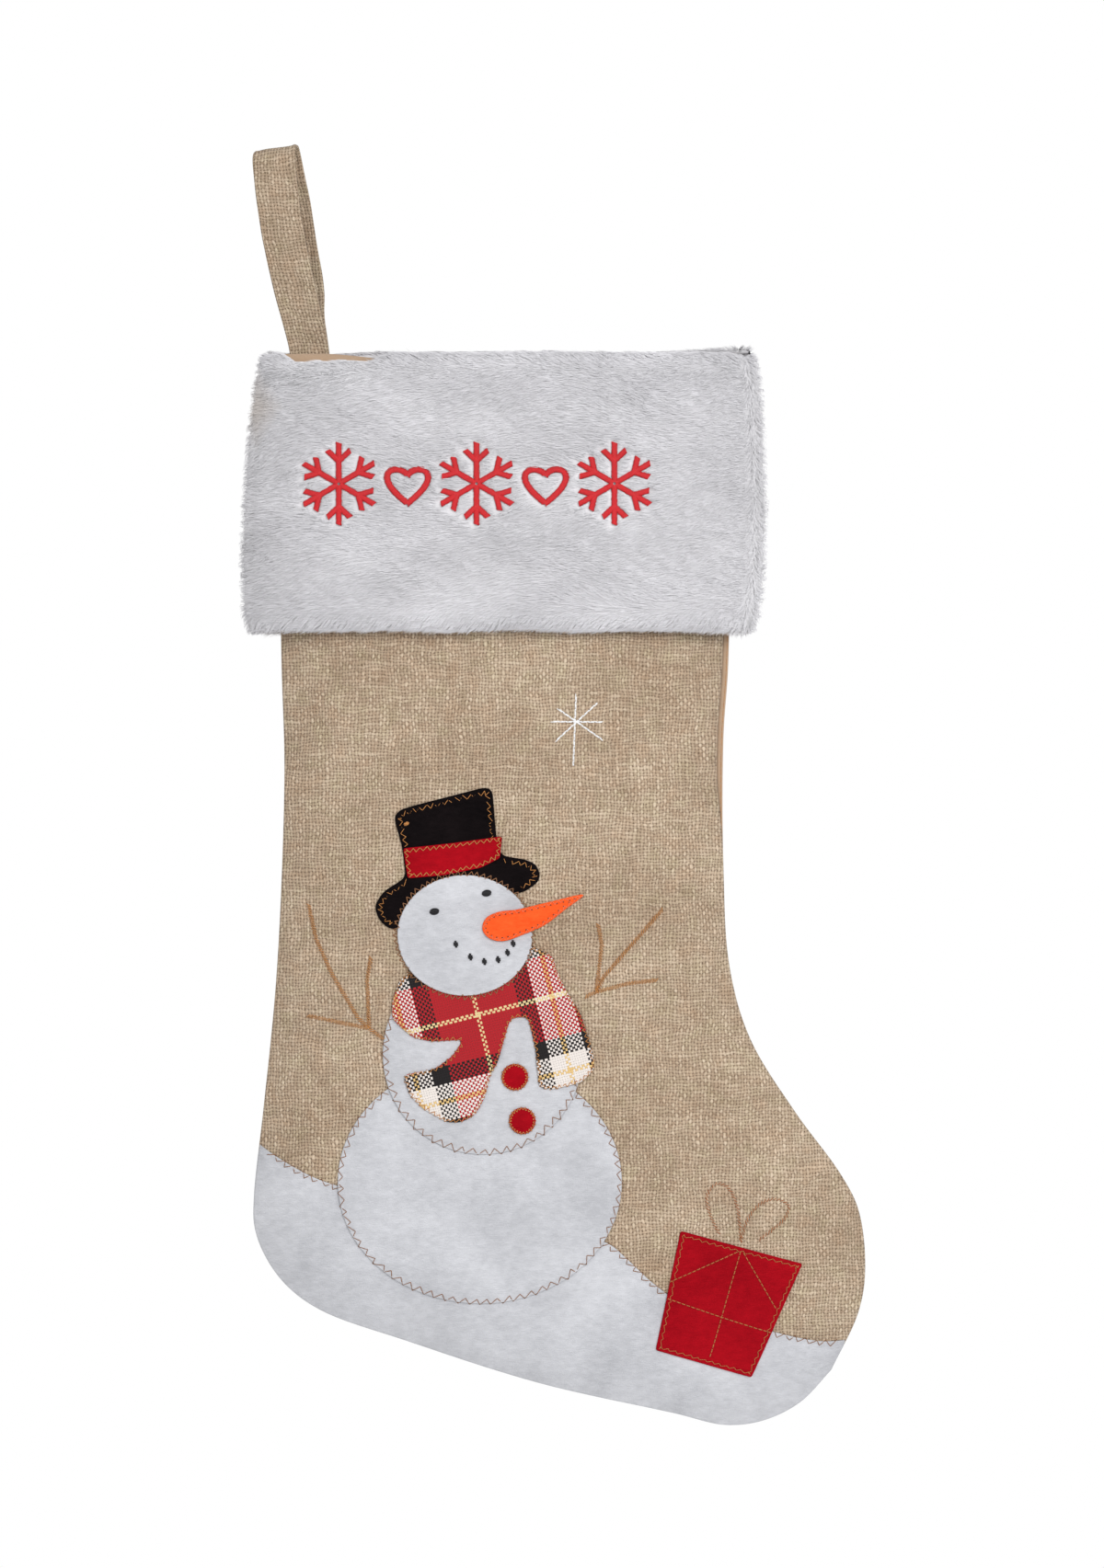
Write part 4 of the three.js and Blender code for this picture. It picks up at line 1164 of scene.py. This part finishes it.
# Section of the cuff, from its hem up the outside, over the rim and back down to the hem:
# distance outside the pouch, as a share of the full cover, and height.
MIDDLE_Z = (CUFF_TOP + CUFF_BOTTOM) / 2
OUTSIDE = [
    (0.30, CUFF_BOTTOM + 2.6), (0.55, CUFF_BOTTOM + 1.6), (0.84, CUFF_BOTTOM + 2.6),
    (0.98, CUFF_BOTTOM + 6), (1.0, CUFF_BOTTOM + 20), (1.03, MIDDLE_Z), (1.0, CUFF_TOP - 22),
    (0.92, CUFF_TOP - 9), (0.62, CUFF_TOP - 3.2), (0.18, CUFF_TOP - 1.6), (-0.2, CUFF_TOP - 2.4),
]
FRONT_LIP = [(-0.36, CUFF_TOP - 6), (-0.36, CUFF_TOP - 11), (-0.20, CUFF_TOP - 11.5)]
BACK_LIP = [(-0.24, CUFF_TOP - 3.0), (-0.20, CUFF_TOP - 3.3), (-0.15, CUFF_TOP - 3.0)]
INSIDE = [(-0.10, CUFF_TOP - 2.9), (0.06, CUFF_TOP - 3.0), (0.09, CUFF_TOP - 8), (0.09, CUFF_BOTTOM + 8)]
SHARE_MM = 8                               # mm that a whole share counts as when a section is spaced

CRYSTAL_Z = -140.5
CRYSTAL_RADIUS = 17
CRYSTALS = [(27, CRYSTAL_Z), (84, CRYSTAL_Z), (141, CRYSTAL_Z)]
HEARTS = [(55.5, CRYSTAL_Z), (112.5, CRYSTAL_Z)]
HEART_SIZE = 8.5
MOTIF_REACH = 32                           # nothing further from CRYSTAL_Z is near a motif


def crystal_lines(centre):
    """A six-armed crystal, with two side branches on each arm."""
    lines = []
    for arm in range(6):
        angle = arm * math.pi / 3

        def reach(radius, turn=0.0, angle=angle):
            return (centre[0] + radius * math.sin(angle + turn), centre[1] + radius * math.cos(angle + turn))

        lines.append([reach(0.8), reach(CRYSTAL_RADIUS)])
        for side in (-0.33, 0.33):
            lines.append([reach(0.55 * CRYSTAL_RADIUS), reach(0.86 * CRYSTAL_RADIUS, side)])
    return lines


def heart_line(centre):
    turn = np.linspace(0, 2 * np.pi, 61)
    across = np.sin(turn) ** 3
    up = (13 * np.cos(turn) - 5 * np.cos(2 * turn) - 2 * np.cos(3 * turn)) / 16
    return np.stack([centre[0] + HEART_SIZE * across, centre[1] + HEART_SIZE * up], axis=1)


MOTIF_LINES = [line for centre in CRYSTALS for line in crystal_lines(centre)]
MOTIF_LINES += [heart_line(centre)[::3] for centre in HEARTS]


def motif_distance(x, z):
    near = np.abs(z - CRYSTAL_Z) <= MOTIF_REACH
    distance = np.full(np.shape(x), 99.0)
    if near.any():
        distance[near] = to_lines(x[near], z[near], MOTIF_LINES)[0]
    return distance


def cuff_sides(z, side):
    """The left and right edges of one half of the cuff's backing."""
    inset = SIDE_INSET + (BACK_INSET if side > 0 else 0.0)
    left = np.interp(z, CUFF_EDGES[:, 0], CUFF_EDGES[:, 1]) + inset
    right = np.interp(z, CUFF_EDGES[:, 0], CUFF_EDGES[:, 2]) - inset
    return left, right


def cuff_edge_distance(x, z, side):
    """Distance in from the nearer side edge of one half of the cuff."""
    left, right = cuff_sides(z, side)
    return np.maximum(np.minimum(x - left, right - x), 0)


def cuff_depth(x, z, share, side):
    """Distance from the seam plane of a place on the cuff, share of the cover outside the pouch."""
    edge = cuff_edge_distance(x, z, side)
    rounded = np.sqrt(1 - (1 - np.clip(edge / 9.0, 0, 1)) ** 2)
    body = (CUFF_BODY - (side > 0) * 0.8) * (1 - np.exp(-(edge / 19.0) ** 1.1))
    dents = 0.9 * waves(x, z, 21 + side, 62, 1.4) + 0.35 * waves(x, z, 31 + side, 19, 1.8)
    dents = dents * np.clip(share, 0, 1) * step_up(2, 20, edge)
    pressed = PRESSED * np.exp(-(motif_distance(x, z) / 2.6) ** 2) if side < 0 else 0.0
    pressed = pressed * np.clip(share, 0, 1)
    depth = body + share * CUFF_COVER * (0.35 + 0.65 * rounded) * np.sqrt(np.clip(edge / 4, 0, 1))
    return np.maximum(depth + dents - pressed, 0.0) + CUFF_GAP


def rim_drop(x, side):
    """How far the rim sags below its height: the front dips beside the loop."""
    drop = 0.4 * waves(x, 0 * x, 41 + side, 70)
    if side > 0:
        return drop + 0.8 - 1.9 * step_up(15, 48, x)
    return drop + 2.5 + RIM_DIP * step_up(2, 11, x) * (1 - step_up(38, 53, x))


def cuff_places(u, share, z, side):
    """Points of the cuff from the fraction u across it and the section's share and height."""
    left, right = cuff_sides(z, side)
    x = left + (right - left) * u
    z = z - rim_drop(x, side) * step_up(CUFF_TOP - 30, CUFF_TOP - 4, z)
    hem = 0.5 * waves(x, 0 * x, 51 + side, 45)
    z = z + hem * (1 - step_up(CUFF_BOTTOM + 4, CUFF_BOTTOM + 20, z))
    return points(x, SEAM_Y + side * cuff_depth(x, z, share, side), z)


def spaced_section(places, steps, spacing, closed=False):
    """Evenly spaced shares and heights along a section of the cuff."""
    curve = smooth_curve([(share * SHARE_MM, z) for share, z in places], steps, closed)
    section = evenly(curve, spacing, closed)
    return section[:, 0] / SHARE_MM, section[:, 1], lengths_along(section)


def cuff_backing(name, side):
    """The plush's backing cloth: a closed ring of the section, swept across the cuff."""
    lip = FRONT_LIP if side < 0 else BACK_LIP
    share, z, _ = spaced_section(OUTSIDE + lip + INSIDE, 8, 2.2, closed=True)
    corners = cuff_places(*np.broadcast_arrays(crowded(150, 0.75), share[:, None], z[:, None]), side)
    rows, columns = corners.shape[:2]
    faces = [grid_faces(rows, columns, wrap_rows=True, flip=side < 0)]
    rings = [np.arange(rows) * columns, np.arange(rows)[::-1] * columns + columns - 1]
    corners = corners.reshape(-1, 3)
    return capped(make_mesh(name, corners, faces, PLUSH_BACKING, corners[:, [0, 2]]), rings)


PILE_PIECES = {"front": 4, "back": 3}
STRANDS_IN_A_PIECE = 19500
PILE_LENGTH = 5.4
CLUMP = 2.4                                # tufts of pile draw together over about this distance
STITCH_CLEARANCE = 1.15                    # no strand is rooted nearer to the embroidery than this


def comb_direction(x, z, side, normal, side_edge, dice):
    """The way the pile is brushed: to the left, out at the sides, down over the hem and up over the rim."""
    angle = math.pi + 0.14 + 0.38 * waves(x, z, 61 + side, 52) + 0.16 * waves(x, z, 63, 12)
    angle = angle + dice.normal(0, 0.16, len(x))
    comb = points(np.cos(angle), 0.0, np.sin(angle))
    at_right = side_edge * (x > np.mean(CUFF_EDGES[:, 1:]))
    comb[:, 0] += 2.3 * at_right
    comb[:, 2] -= 3.6 * at_right * (1 - at_right)
    if side > 0:
        comb[:, 1] -= 2.4 * side_edge      # the back half's pile closes over the parting
    near_hem = 1 - step_up(CUFF_BOTTOM + 2, CUFF_BOTTOM + 12, z)
    near_rim = step_up(CUFF_TOP - 11, CUFF_TOP - 4, z + np.maximum(rim_drop(x, side) - 1.5, 0))
    comb[:, 2] += 0.75 * near_rim - 1.4 * near_hem
    comb -= normal * np.sum(comb * normal, axis=1, keepdims=True)
    return unit(comb)


def clear_of_stitches(here, comb, length):
    """The share of its length that each strand may have without lying over the embroidery."""
    share = np.full(len(here), 0.18)
    clear = np.ones(len(here), bool)
    for wanted in (0.3, 0.5, 0.75, 1.0):
        reach = here + comb * (length * wanted * 0.92)[:, None]
        clear &= motif_distance(reach[:, 0], reach[:, 2]) > 1.2
        share = np.where(clear, wanted, share)
    return share


def drawn_together(tips, here, share):
    """Moves strands' tips towards the middle of their tuft."""
    cell = np.floor(here[:, [0, 2]] / CLUMP + 0.3 * np.sin(here[:, [2, 0]])).astype(int)
    _, tuft = np.unique(cell[:, 0] * 4096 + cell[:, 1], return_inverse=True)
    count = np.bincount(tuft)
    centre = np.stack([np.bincount(tuft, tips[:, i]) / count for i in range(3)], axis=1)
    return tips + (centre[tuft] - tips) * share[:, None]


def rooted(side, lowest, highest, dice):
    """Roots of strands, evenly over part of the cuff's face, and the normals there."""
    lip = FRONT_LIP[:1] if side < 0 else []
    shares, heights, run = spaced_section(OUTSIDE + lip, 10, 0.5)
    run = run / run[-1]

    def point(u, v):
        return cuff_places(u, np.interp(v, run, shares), np.interp(v, run, heights), side)

    u = dice.uniform(0.0005, 0.9995, STRANDS_IN_A_PIECE * 3)
    v = dice.uniform(lowest, highest, STRANDS_IN_A_PIECE * 3)
    small = 4e-4
    here = point(u, v)
    du = point(np.minimum(u + small, 1), v) - here
    dv = point(u, np.minimum(v + small, 1)) - here
    normal = np.cross(du, dv) * -side
    size = np.linalg.norm(normal, axis=1)
    chance = size / np.quantile(size, 0.9)
    kept = np.flatnonzero(dice.uniform(0, 1, len(u)) < chance)[:STRANDS_IN_A_PIECE]
    here, normal = here[kept], normal[kept] / size[kept, None]
    if side < 0:
        clear = motif_distance(here[:, 0], here[:, 2]) > STITCH_CLEARANCE
        here, normal = here[clear], normal[clear]
    return here, normal


def shading_normals(z, side, normal, side_edge):
    """The normals that strands are lit by, and how much they count against a strand's own.

    They turn outwards at the cuff's edges, so that the pile there does not go dark.
    """
    near_top = step_up(CUFF_TOP - 12, CUFF_TOP - 5, z)
    at_rim = np.maximum(near_top, 1 - step_up(CUFF_BOTTOM + 3, CUFF_BOTTOM + 9, z))
    turning = np.maximum(side_edge, at_rim)
    outward = side * (turning if side < 0 else side_edge * (1 - at_rim))
    smooth = 0.9 - (0.45 if side < 0 else 0.62) * turning
    return unit(normal + points(0.0, 1.4 * outward, 0.4 * near_top)), smooth[:, None]


def pile(name, side, seed, lowest, highest):
    """Tapered strands of plush over part of the cuff.

    lowest and highest are the fractions of the section, from hem to lip, that this piece covers.
    """
    dice = np.random.default_rng(seed)
    here, normal = rooted(side, lowest, highest, dice)
    x, z = here[:, 0], here[:, 2]
    many = len(here)
    side_edge = 1 - step_up(0.5, 7, cuff_edge_distance(x, z, side))
    comb = comb_direction(x, z, side, normal, side_edge, dice)
    length = PILE_LENGTH * dice.uniform(0.65, 1.2, many) * (1 - 0.3 * side_edge)
    if side < 0:
        length *= clear_of_stitches(here, comb, length)
    stand = 0.2 + 0.05 * waves(x, z, 71 + side, 6, 1.8) + dice.uniform(-0.04, 0.04, many)
    rise = (stand + 0.34 * side_edge) * length
    reach = np.sqrt(np.maximum(length ** 2 - rise ** 2, 0.1))
    middle = here + normal * (rise * 0.8)[:, None] + comb * (reach * 0.42)[:, None]
    tip = here + normal * rise[:, None] + comb * reach[:, None]
    tip = drawn_together(tip, here, 0.16 + 0.4 * side_edge)
    here = here - normal * 0.3

    lit, smooth = shading_normals(z, side, normal, side_edge)
    width = dice.uniform(0.10, 0.16, many)
    across = np.cross(comb, normal)
    rings, facing = [], []
    for centre, share in ((here, 1.0), (middle, 0.8)):
        for turn in (0, 2 * math.pi / 3, 4 * math.pi / 3):
            out = across * math.cos(turn) + normal * math.sin(turn)
            rings.append(centre + out * (width * share)[:, None])
            facing.append(lit * smooth + out * (1 - smooth))
    corners = np.stack(rings + [tip], axis=1).reshape(-1, 3)
    facing = np.stack(facing + [lit * smooth + across * 0.01], axis=1).reshape(-1, 3)
    base = np.arange(many)[:, None] * 7
    quads = np.concatenate([base + [b, a, a + 3, b + 3] for a, b in ((0, 1), (1, 2), (2, 0))])
    tips = np.concatenate([base + [b, a, 6] for a, b in ((3, 4), (4, 5), (5, 3))])
    ends = base + [0, 1, 2]
    made = make_mesh(name, corners, [quads, np.concatenate([tips, ends])], PLUSH_PILE, corners[:, [0, 2]])
    made.data.normals_split_custom_set_from_vertices(unit(facing).tolist())
    return made


def make_cuff():
    """{front or back: (backing, pieces of pile)}."""
    made = {}
    for side, where in ((-1, "front"), (1, "back")):
        backing = cuff_backing(f"plush_{where}", side)
        pieces = PILE_PIECES[where]
        tufts = [pile(f"pile_{where}_{n + 1}", side, 100 + 10 * side + n, n / pieces, (n + 1) / pieces)
                 for n in range(pieces)]
        made[where] = (backing, tufts)
    return made


def cuff_front_y(x, z):
    """The front of the plush backing at its outer face, where the embroidery lies."""
    share = np.interp(z, [CUFF_BOTTOM + 6, MIDDLE_Z, CUFF_TOP - 22], [0.98, 1.03, 1.0])
    return SEAM_Y - cuff_depth(x, z, share, -1) - 0.55


def make_cuff_embroidery():
    made = {}
    for i, centre in enumerate(CRYSTALS, 1):
        made[f"cuff_crystal_{i}"] = satin(f"satin_crystal_{i}", crystal_lines(centre), 2.2,
                                          cuff_front_y, RED_THREAD)
    for i, centre in enumerate(HEARTS, 1):
        made[f"cuff_heart_{i}"] = satin(f"satin_heart_{i}", [heart_line(centre)], 2.4,
                                        cuff_front_y, RED_THREAD)
    return made


def make_cuff_seams():
    """Hand stitches that close the cuff's two sides, down in the pile."""
    made = {}
    t = np.linspace(-1, 1, 5)
    bulge = 0.5 * (1 - t ** 2)
    for name, column, inward in (("cuff_seam_left", 1, 1), ("cuff_seam_right", 2, -1)):
        paths = []
        for z in np.arange(CUFF_BOTTOM + 8, CUFF_TOP - 8, 3.2):
            x = np.interp(z, CUFF_EDGES[:, 0], CUFF_EDGES[:, column]) + inward * SIDE_INSET
            paths.append(points(x - inward * bulge, SEAM_Y + 0.9 * t, z + 0.9 * t))
        made[name] = tubes(f"overcast_{name}", paths, 0.18, WHITE_THREAD)
    return made


# ---------------------------------------------------------------- the hanging loop

STRAP_WIDTH = 17.9
STRAP_THICKNESS = 1.3
LEG_OFFSET = 0.72                          # each leg lies this far from the middle of the tab
STRAP_ROOT = float(np.mean([TAB_LOW[1], TAB_HIGH[1]]))
FRONT_LEG_Y = STRAP_ROOT - LEG_OFFSET
BACK_LEG_Y = STRAP_ROOT + LEG_OFFSET
# The strap seen from the side, as (y, z): up the front leg, over the hook and down the back leg.
STRAP_SIDE = [
    (FRONT_LEG_Y, TAB_LOW[2]), (FRONT_LEG_Y, -92), (STRAP_ROOT - 0.75, -76), (-1.7, -52),
    (-5.3, -30), (-5.7, -9), (-4.5, -2.2), (-2.2, 0.5), (0, 0.75), (2.2, 0.5), (4.5, -2.2),
    (5.7, -9), (5.3, -30), (4.6, -52), (STRAP_ROOT + 0.75, -76), (BACK_LEG_Y, -92),
    (BACK_LEG_Y, TAB_LOW[2]),
]
# The middle of the strap and how far its back leg lies to the right of it, as (z, x).
STRAP_LEAN = np.array([
    (TAB_LOW[2], HINGE[0] + 0.8), (-84, HINGE[0] + 0.3), (-75, 11.8), (-60, 8.1), (-39, 3.4),
    (-19, 0.5), (-3, -1.0), (4, -1.2),
])
BACK_LEG = np.array([(-82, 0), (-68, 0.8), (-60, 2.9), (-52, 3.9), (-39, 4.3), (-19, 4.2), (0, 1.6)])
STRAP_COLUMNS = 45                         # the last column meets the first, where the map starts again


def strap_section():
    """The flat strap's section: places across it and through it, with rolled edges and a crease."""
    turn = np.linspace(0, 2 * np.pi, STRAP_COLUMNS)
    half = STRAP_WIDTH / 2
    across = half * np.sign(np.cos(turn)) * np.abs(np.cos(turn)) ** 0.55
    through = STRAP_THICKNESS / 2 * np.sign(np.sin(turn)) * np.abs(np.sin(turn)) ** 0.7
    edge_roll = 0.35 * np.exp(-((np.abs(across) - half + 0.9) / 0.8) ** 2)
    crease = 0.5 * np.exp(-((across + 1.4) / 1.0) ** 2) * (np.sin(turn) > 0)
    return across, through + edge_roll * np.sign(np.sin(turn)), crease


def make_loop():
    """The folded strap, swept along its side outline; it runs on inside the mouth as its tab."""
    side_line = evenly(smooth_curve(STRAP_SIDE, 14), 1.1)
    run = lengths_along(side_line)
    y, z = side_line[:, 0], side_line[:, 1]
    over_top = step_up(-5.0, 5.0, y) * (run > run[-1] * 0.3)
    on_back_leg = np.where(run > run[-1] * 0.6, 1.0, over_top)
    lean = np.interp(z, *STRAP_LEAN.T) + on_back_leg * np.interp(z, *BACK_LEG.T)
    for _ in range(12):
        lean[1:-1] = (lean[:-2] + 2 * lean[1:-1] + lean[2:]) / 4
    out = left_of(np.gradient(side_line, axis=0))
    across, through, crease = strap_section()
    narrow = np.interp(z, [TAB_LOW[2], HINGE[2], -60], [0.93, 0.93, 1.0])[:, None]
    ripple = 0.25 * waves(*np.broadcast_arrays(run[:, None], across), 81, 16)
    thick = through + ripple - crease * step_up(-46, -24, z)[:, None]
    wide = across * narrow
    slant = 0.19 * wide * step_up(-14, 2, z)[:, None]
    corners = points(lean[:, None] + wide, y[:, None] + thick * out[:, :1],
                     z[:, None] + thick * out[:, 1:] + slant).reshape(-1, 3)
    rows = len(run)
    ring = np.arange(STRAP_COLUMNS - 1)
    caps = np.stack([ring[::-1], ring + (rows - 1) * STRAP_COLUMNS])
    round_it = lengths_along(np.stack([across, through], axis=1))
    uv = np.stack(np.meshgrid(round_it, run), axis=-1).reshape(-1, 2)
    faces = [grid_faces(rows, STRAP_COLUMNS), caps]
    return welded(make_mesh("hessian_strap", corners, faces, STRAP_HESSIAN, uv))


def make_bartack():
    """A sewn square with a cross in it, through the tab and the back panel."""
    face = FRONT_LEG_Y - STRAP_THICKNESS / 2 - 0.1
    left, right = TAB_LOW[0] + 3, TAB_HIGH[0] - 2.6
    low, high = TAB_LOW[2] + 3, TAB_LOW[2] + 15
    a, b, c, d = (left, low), (right, low), (right, high), (left, high)
    lines = [[a, b], [b, c], [c, d], [d, a], [a, c], [d, b]]
    return running("bartack_stitches", lines, lambda x, z: face, TAN_THREAD, radius=0.22, stitch=2.2)


# ---------------------------------------------------------------- stage

FLOOR_Z = -1200.0
FLOOR_REACH = 2600.0
AMBIENT = 0.605
LAMPS = [
    # name, place in m, size in m, power in W
    ("key", (0.95, -1.7, 0.35), 1.1, 26.0),
    ("fill", (-1.2, -1.5, 0.2), 1.3, 9.0),
    ("back", (0.2, 1.8, 0.5), 1.4, 18.0),
]
AIM = Vector((0.115, 0.0, -0.27))
CAMERA_PLACE = (0.1152, -1.8235, -0.2647)


def make_stage():
    square = FLOOR_REACH * np.array([(-1, -1), (1, -1), (1, 1), (-1, 1)])
    shader = Shader("pale_floor")
    speckle = shader.noise(0.02, 3)
    tone = shader.ramp(speckle, [(0.3, rgb(242, 242, 242)), (0.7, rgb(246, 246, 246))])
    material = shader.finish(tone, (speckle, 0.9, 0.9), speckle, 0.2)
    corners = points(square[:, 0], square[:, 1], FLOOR_Z)
    make_mesh("floor", corners, [[[0, 1, 2, 3]]], material, square)


def make_world():
    """White studio: the backdrop is pure white, and lights the object softly."""
    world = bpy.data.worlds.new("studio")
    bpy.context.scene.world = world
    world.use_nodes = True
    nodes, links = world.node_tree.nodes, world.node_tree.links
    nodes.clear()
    mixed = nodes.new("ShaderNodeMixShader")
    rays = nodes.new("ShaderNodeLightPath")
    links.new(rays.outputs["Is Camera Ray"], mixed.inputs[0])
    for i, (strength, colour) in enumerate([(AMBIENT, (1.0, 0.995, 0.985, 1)), (1.0, (1, 1, 1, 1))], 1):
        background = nodes.new("ShaderNodeBackground")
        background.inputs["Strength"].default_value = strength
        background.inputs["Color"].default_value = colour
        links.new(background.outputs[0], mixed.inputs[i])
    out = nodes.new("ShaderNodeOutputWorld")
    links.new(mixed.outputs[0], out.inputs["Surface"])


def make_light_and_camera():
    scene = bpy.context.scene
    for name, place, size, power in LAMPS:
        lamp = bpy.data.lights.new(name, "AREA")
        lamp.shape = "DISK"
        lamp.size = size
        lamp.energy = power
        holder = bpy.data.objects.new(name, lamp)
        holder.location = place
        holder.rotation_euler = (AIM - Vector(place)).to_track_quat("-Z", "Y").to_euler()
        scene.collection.objects.link(holder)
    lens = bpy.data.cameras.new("camera")
    lens.lens = 100
    lens.sensor_width = 36
    camera = bpy.data.objects.new("camera", lens)
    camera.location = CAMERA_PLACE
    camera.rotation_euler = (math.pi / 2, 0, 0)
    scene.collection.objects.link(camera)
    scene.camera = camera
    scene.view_settings.view_transform = "Standard"


# ---------------------------------------------------------------- assembly

SLOTS = {                                  # by the start of the node's name; all others are tan thread
    "snow_ground": "white_felt", "snowman": "white_felt", "snowflake": "white_thread",
    "scarf": "plaid", "hat_band": "red_felt", "hat": "black_felt", "carrot_nose": "orange_felt",
    "gift_box": "red_felt", "button": "red_felt", "eye": "black_thread", "mouth": "black_thread",
    "cuff_crystal": "red_thread", "cuff_heart": "red_thread", "cuff_seam": "white_thread",
}
LINING_SHARE = 0.93                        # of the panels' area


def slot_of(node):
    return next((slot for start, slot in SLOTS.items() if node.startswith(start)), "tan_thread")


def settle(piece, slot, *nodes):
    """Puts a piece on the pouch and hides the CAD nodes it stands for. slot is not used."""
    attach(piece, "pouch")
    if nodes:
        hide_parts(*nodes)


def assemble_pouch():
    front = panel("hessian_front", -1, FRONT_FULLNESS, HESSIAN, raised=-6.0)
    back = panel("suedette_back", 1, BACK_FULLNESS, SUEDETTE, raised=-0.2)
    lining = make_interlining()
    settle(front, "hessian", "front_panel")
    settle(back, "suedette", "back_panel")
    settle(lining, "interlining", "front_interlining")
    area = anticlockwise(np.vstack([HEEL_SIDE, INSTEP_SIDE[::-1]]))[1] * MM * MM
    area * LINING_SHARE
    settle(make_perimeter_stitching(), "tan_thread", "perimeter_stitching")


def assemble_front():
    """The felt pieces, the thread that tacks them down, and the embroidery."""
    felt = make_felt()
    for node, (piece, area, outline) in felt.items():
        settle(piece, slot_of(node), node)
        spread = (outline.max(0) - outline.min(0)) * MM
        area * MM * MM
    knot = filled_spot("knot_hat", HAT_KNOT, 0.9, 0.8, TAN_THREAD, 0.5)
    for thread in make_tacking(felt) + [make_needle_hole_shade(felt["carrot_nose"][2]), knot]:
        settle(thread, "tan_thread")
    for node, piece in make_pouch_embroidery().items():
        settle(piece, slot_of(node), node)


def assemble_cuff():
    for where, (backing, tufts) in make_cuff().items():
        settle(backing, "plush", f"cuff_{where}")
        for tuft in tufts:
            settle(tuft, "plush")
    for node, piece in {**make_cuff_embroidery(), **make_cuff_seams()}.items():
        settle(piece, slot_of(node), node)


def assemble_loop():
    strap = make_loop()
    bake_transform(strap)
    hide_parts("hanging_loop", "loop_tab")
    settle(make_bartack(), "tan_thread", "loop_bartack")


make_light_and_camera()
make_world()
make_stage()
assemble_pouch()
assemble_front()
assemble_cuff()
assemble_loop()
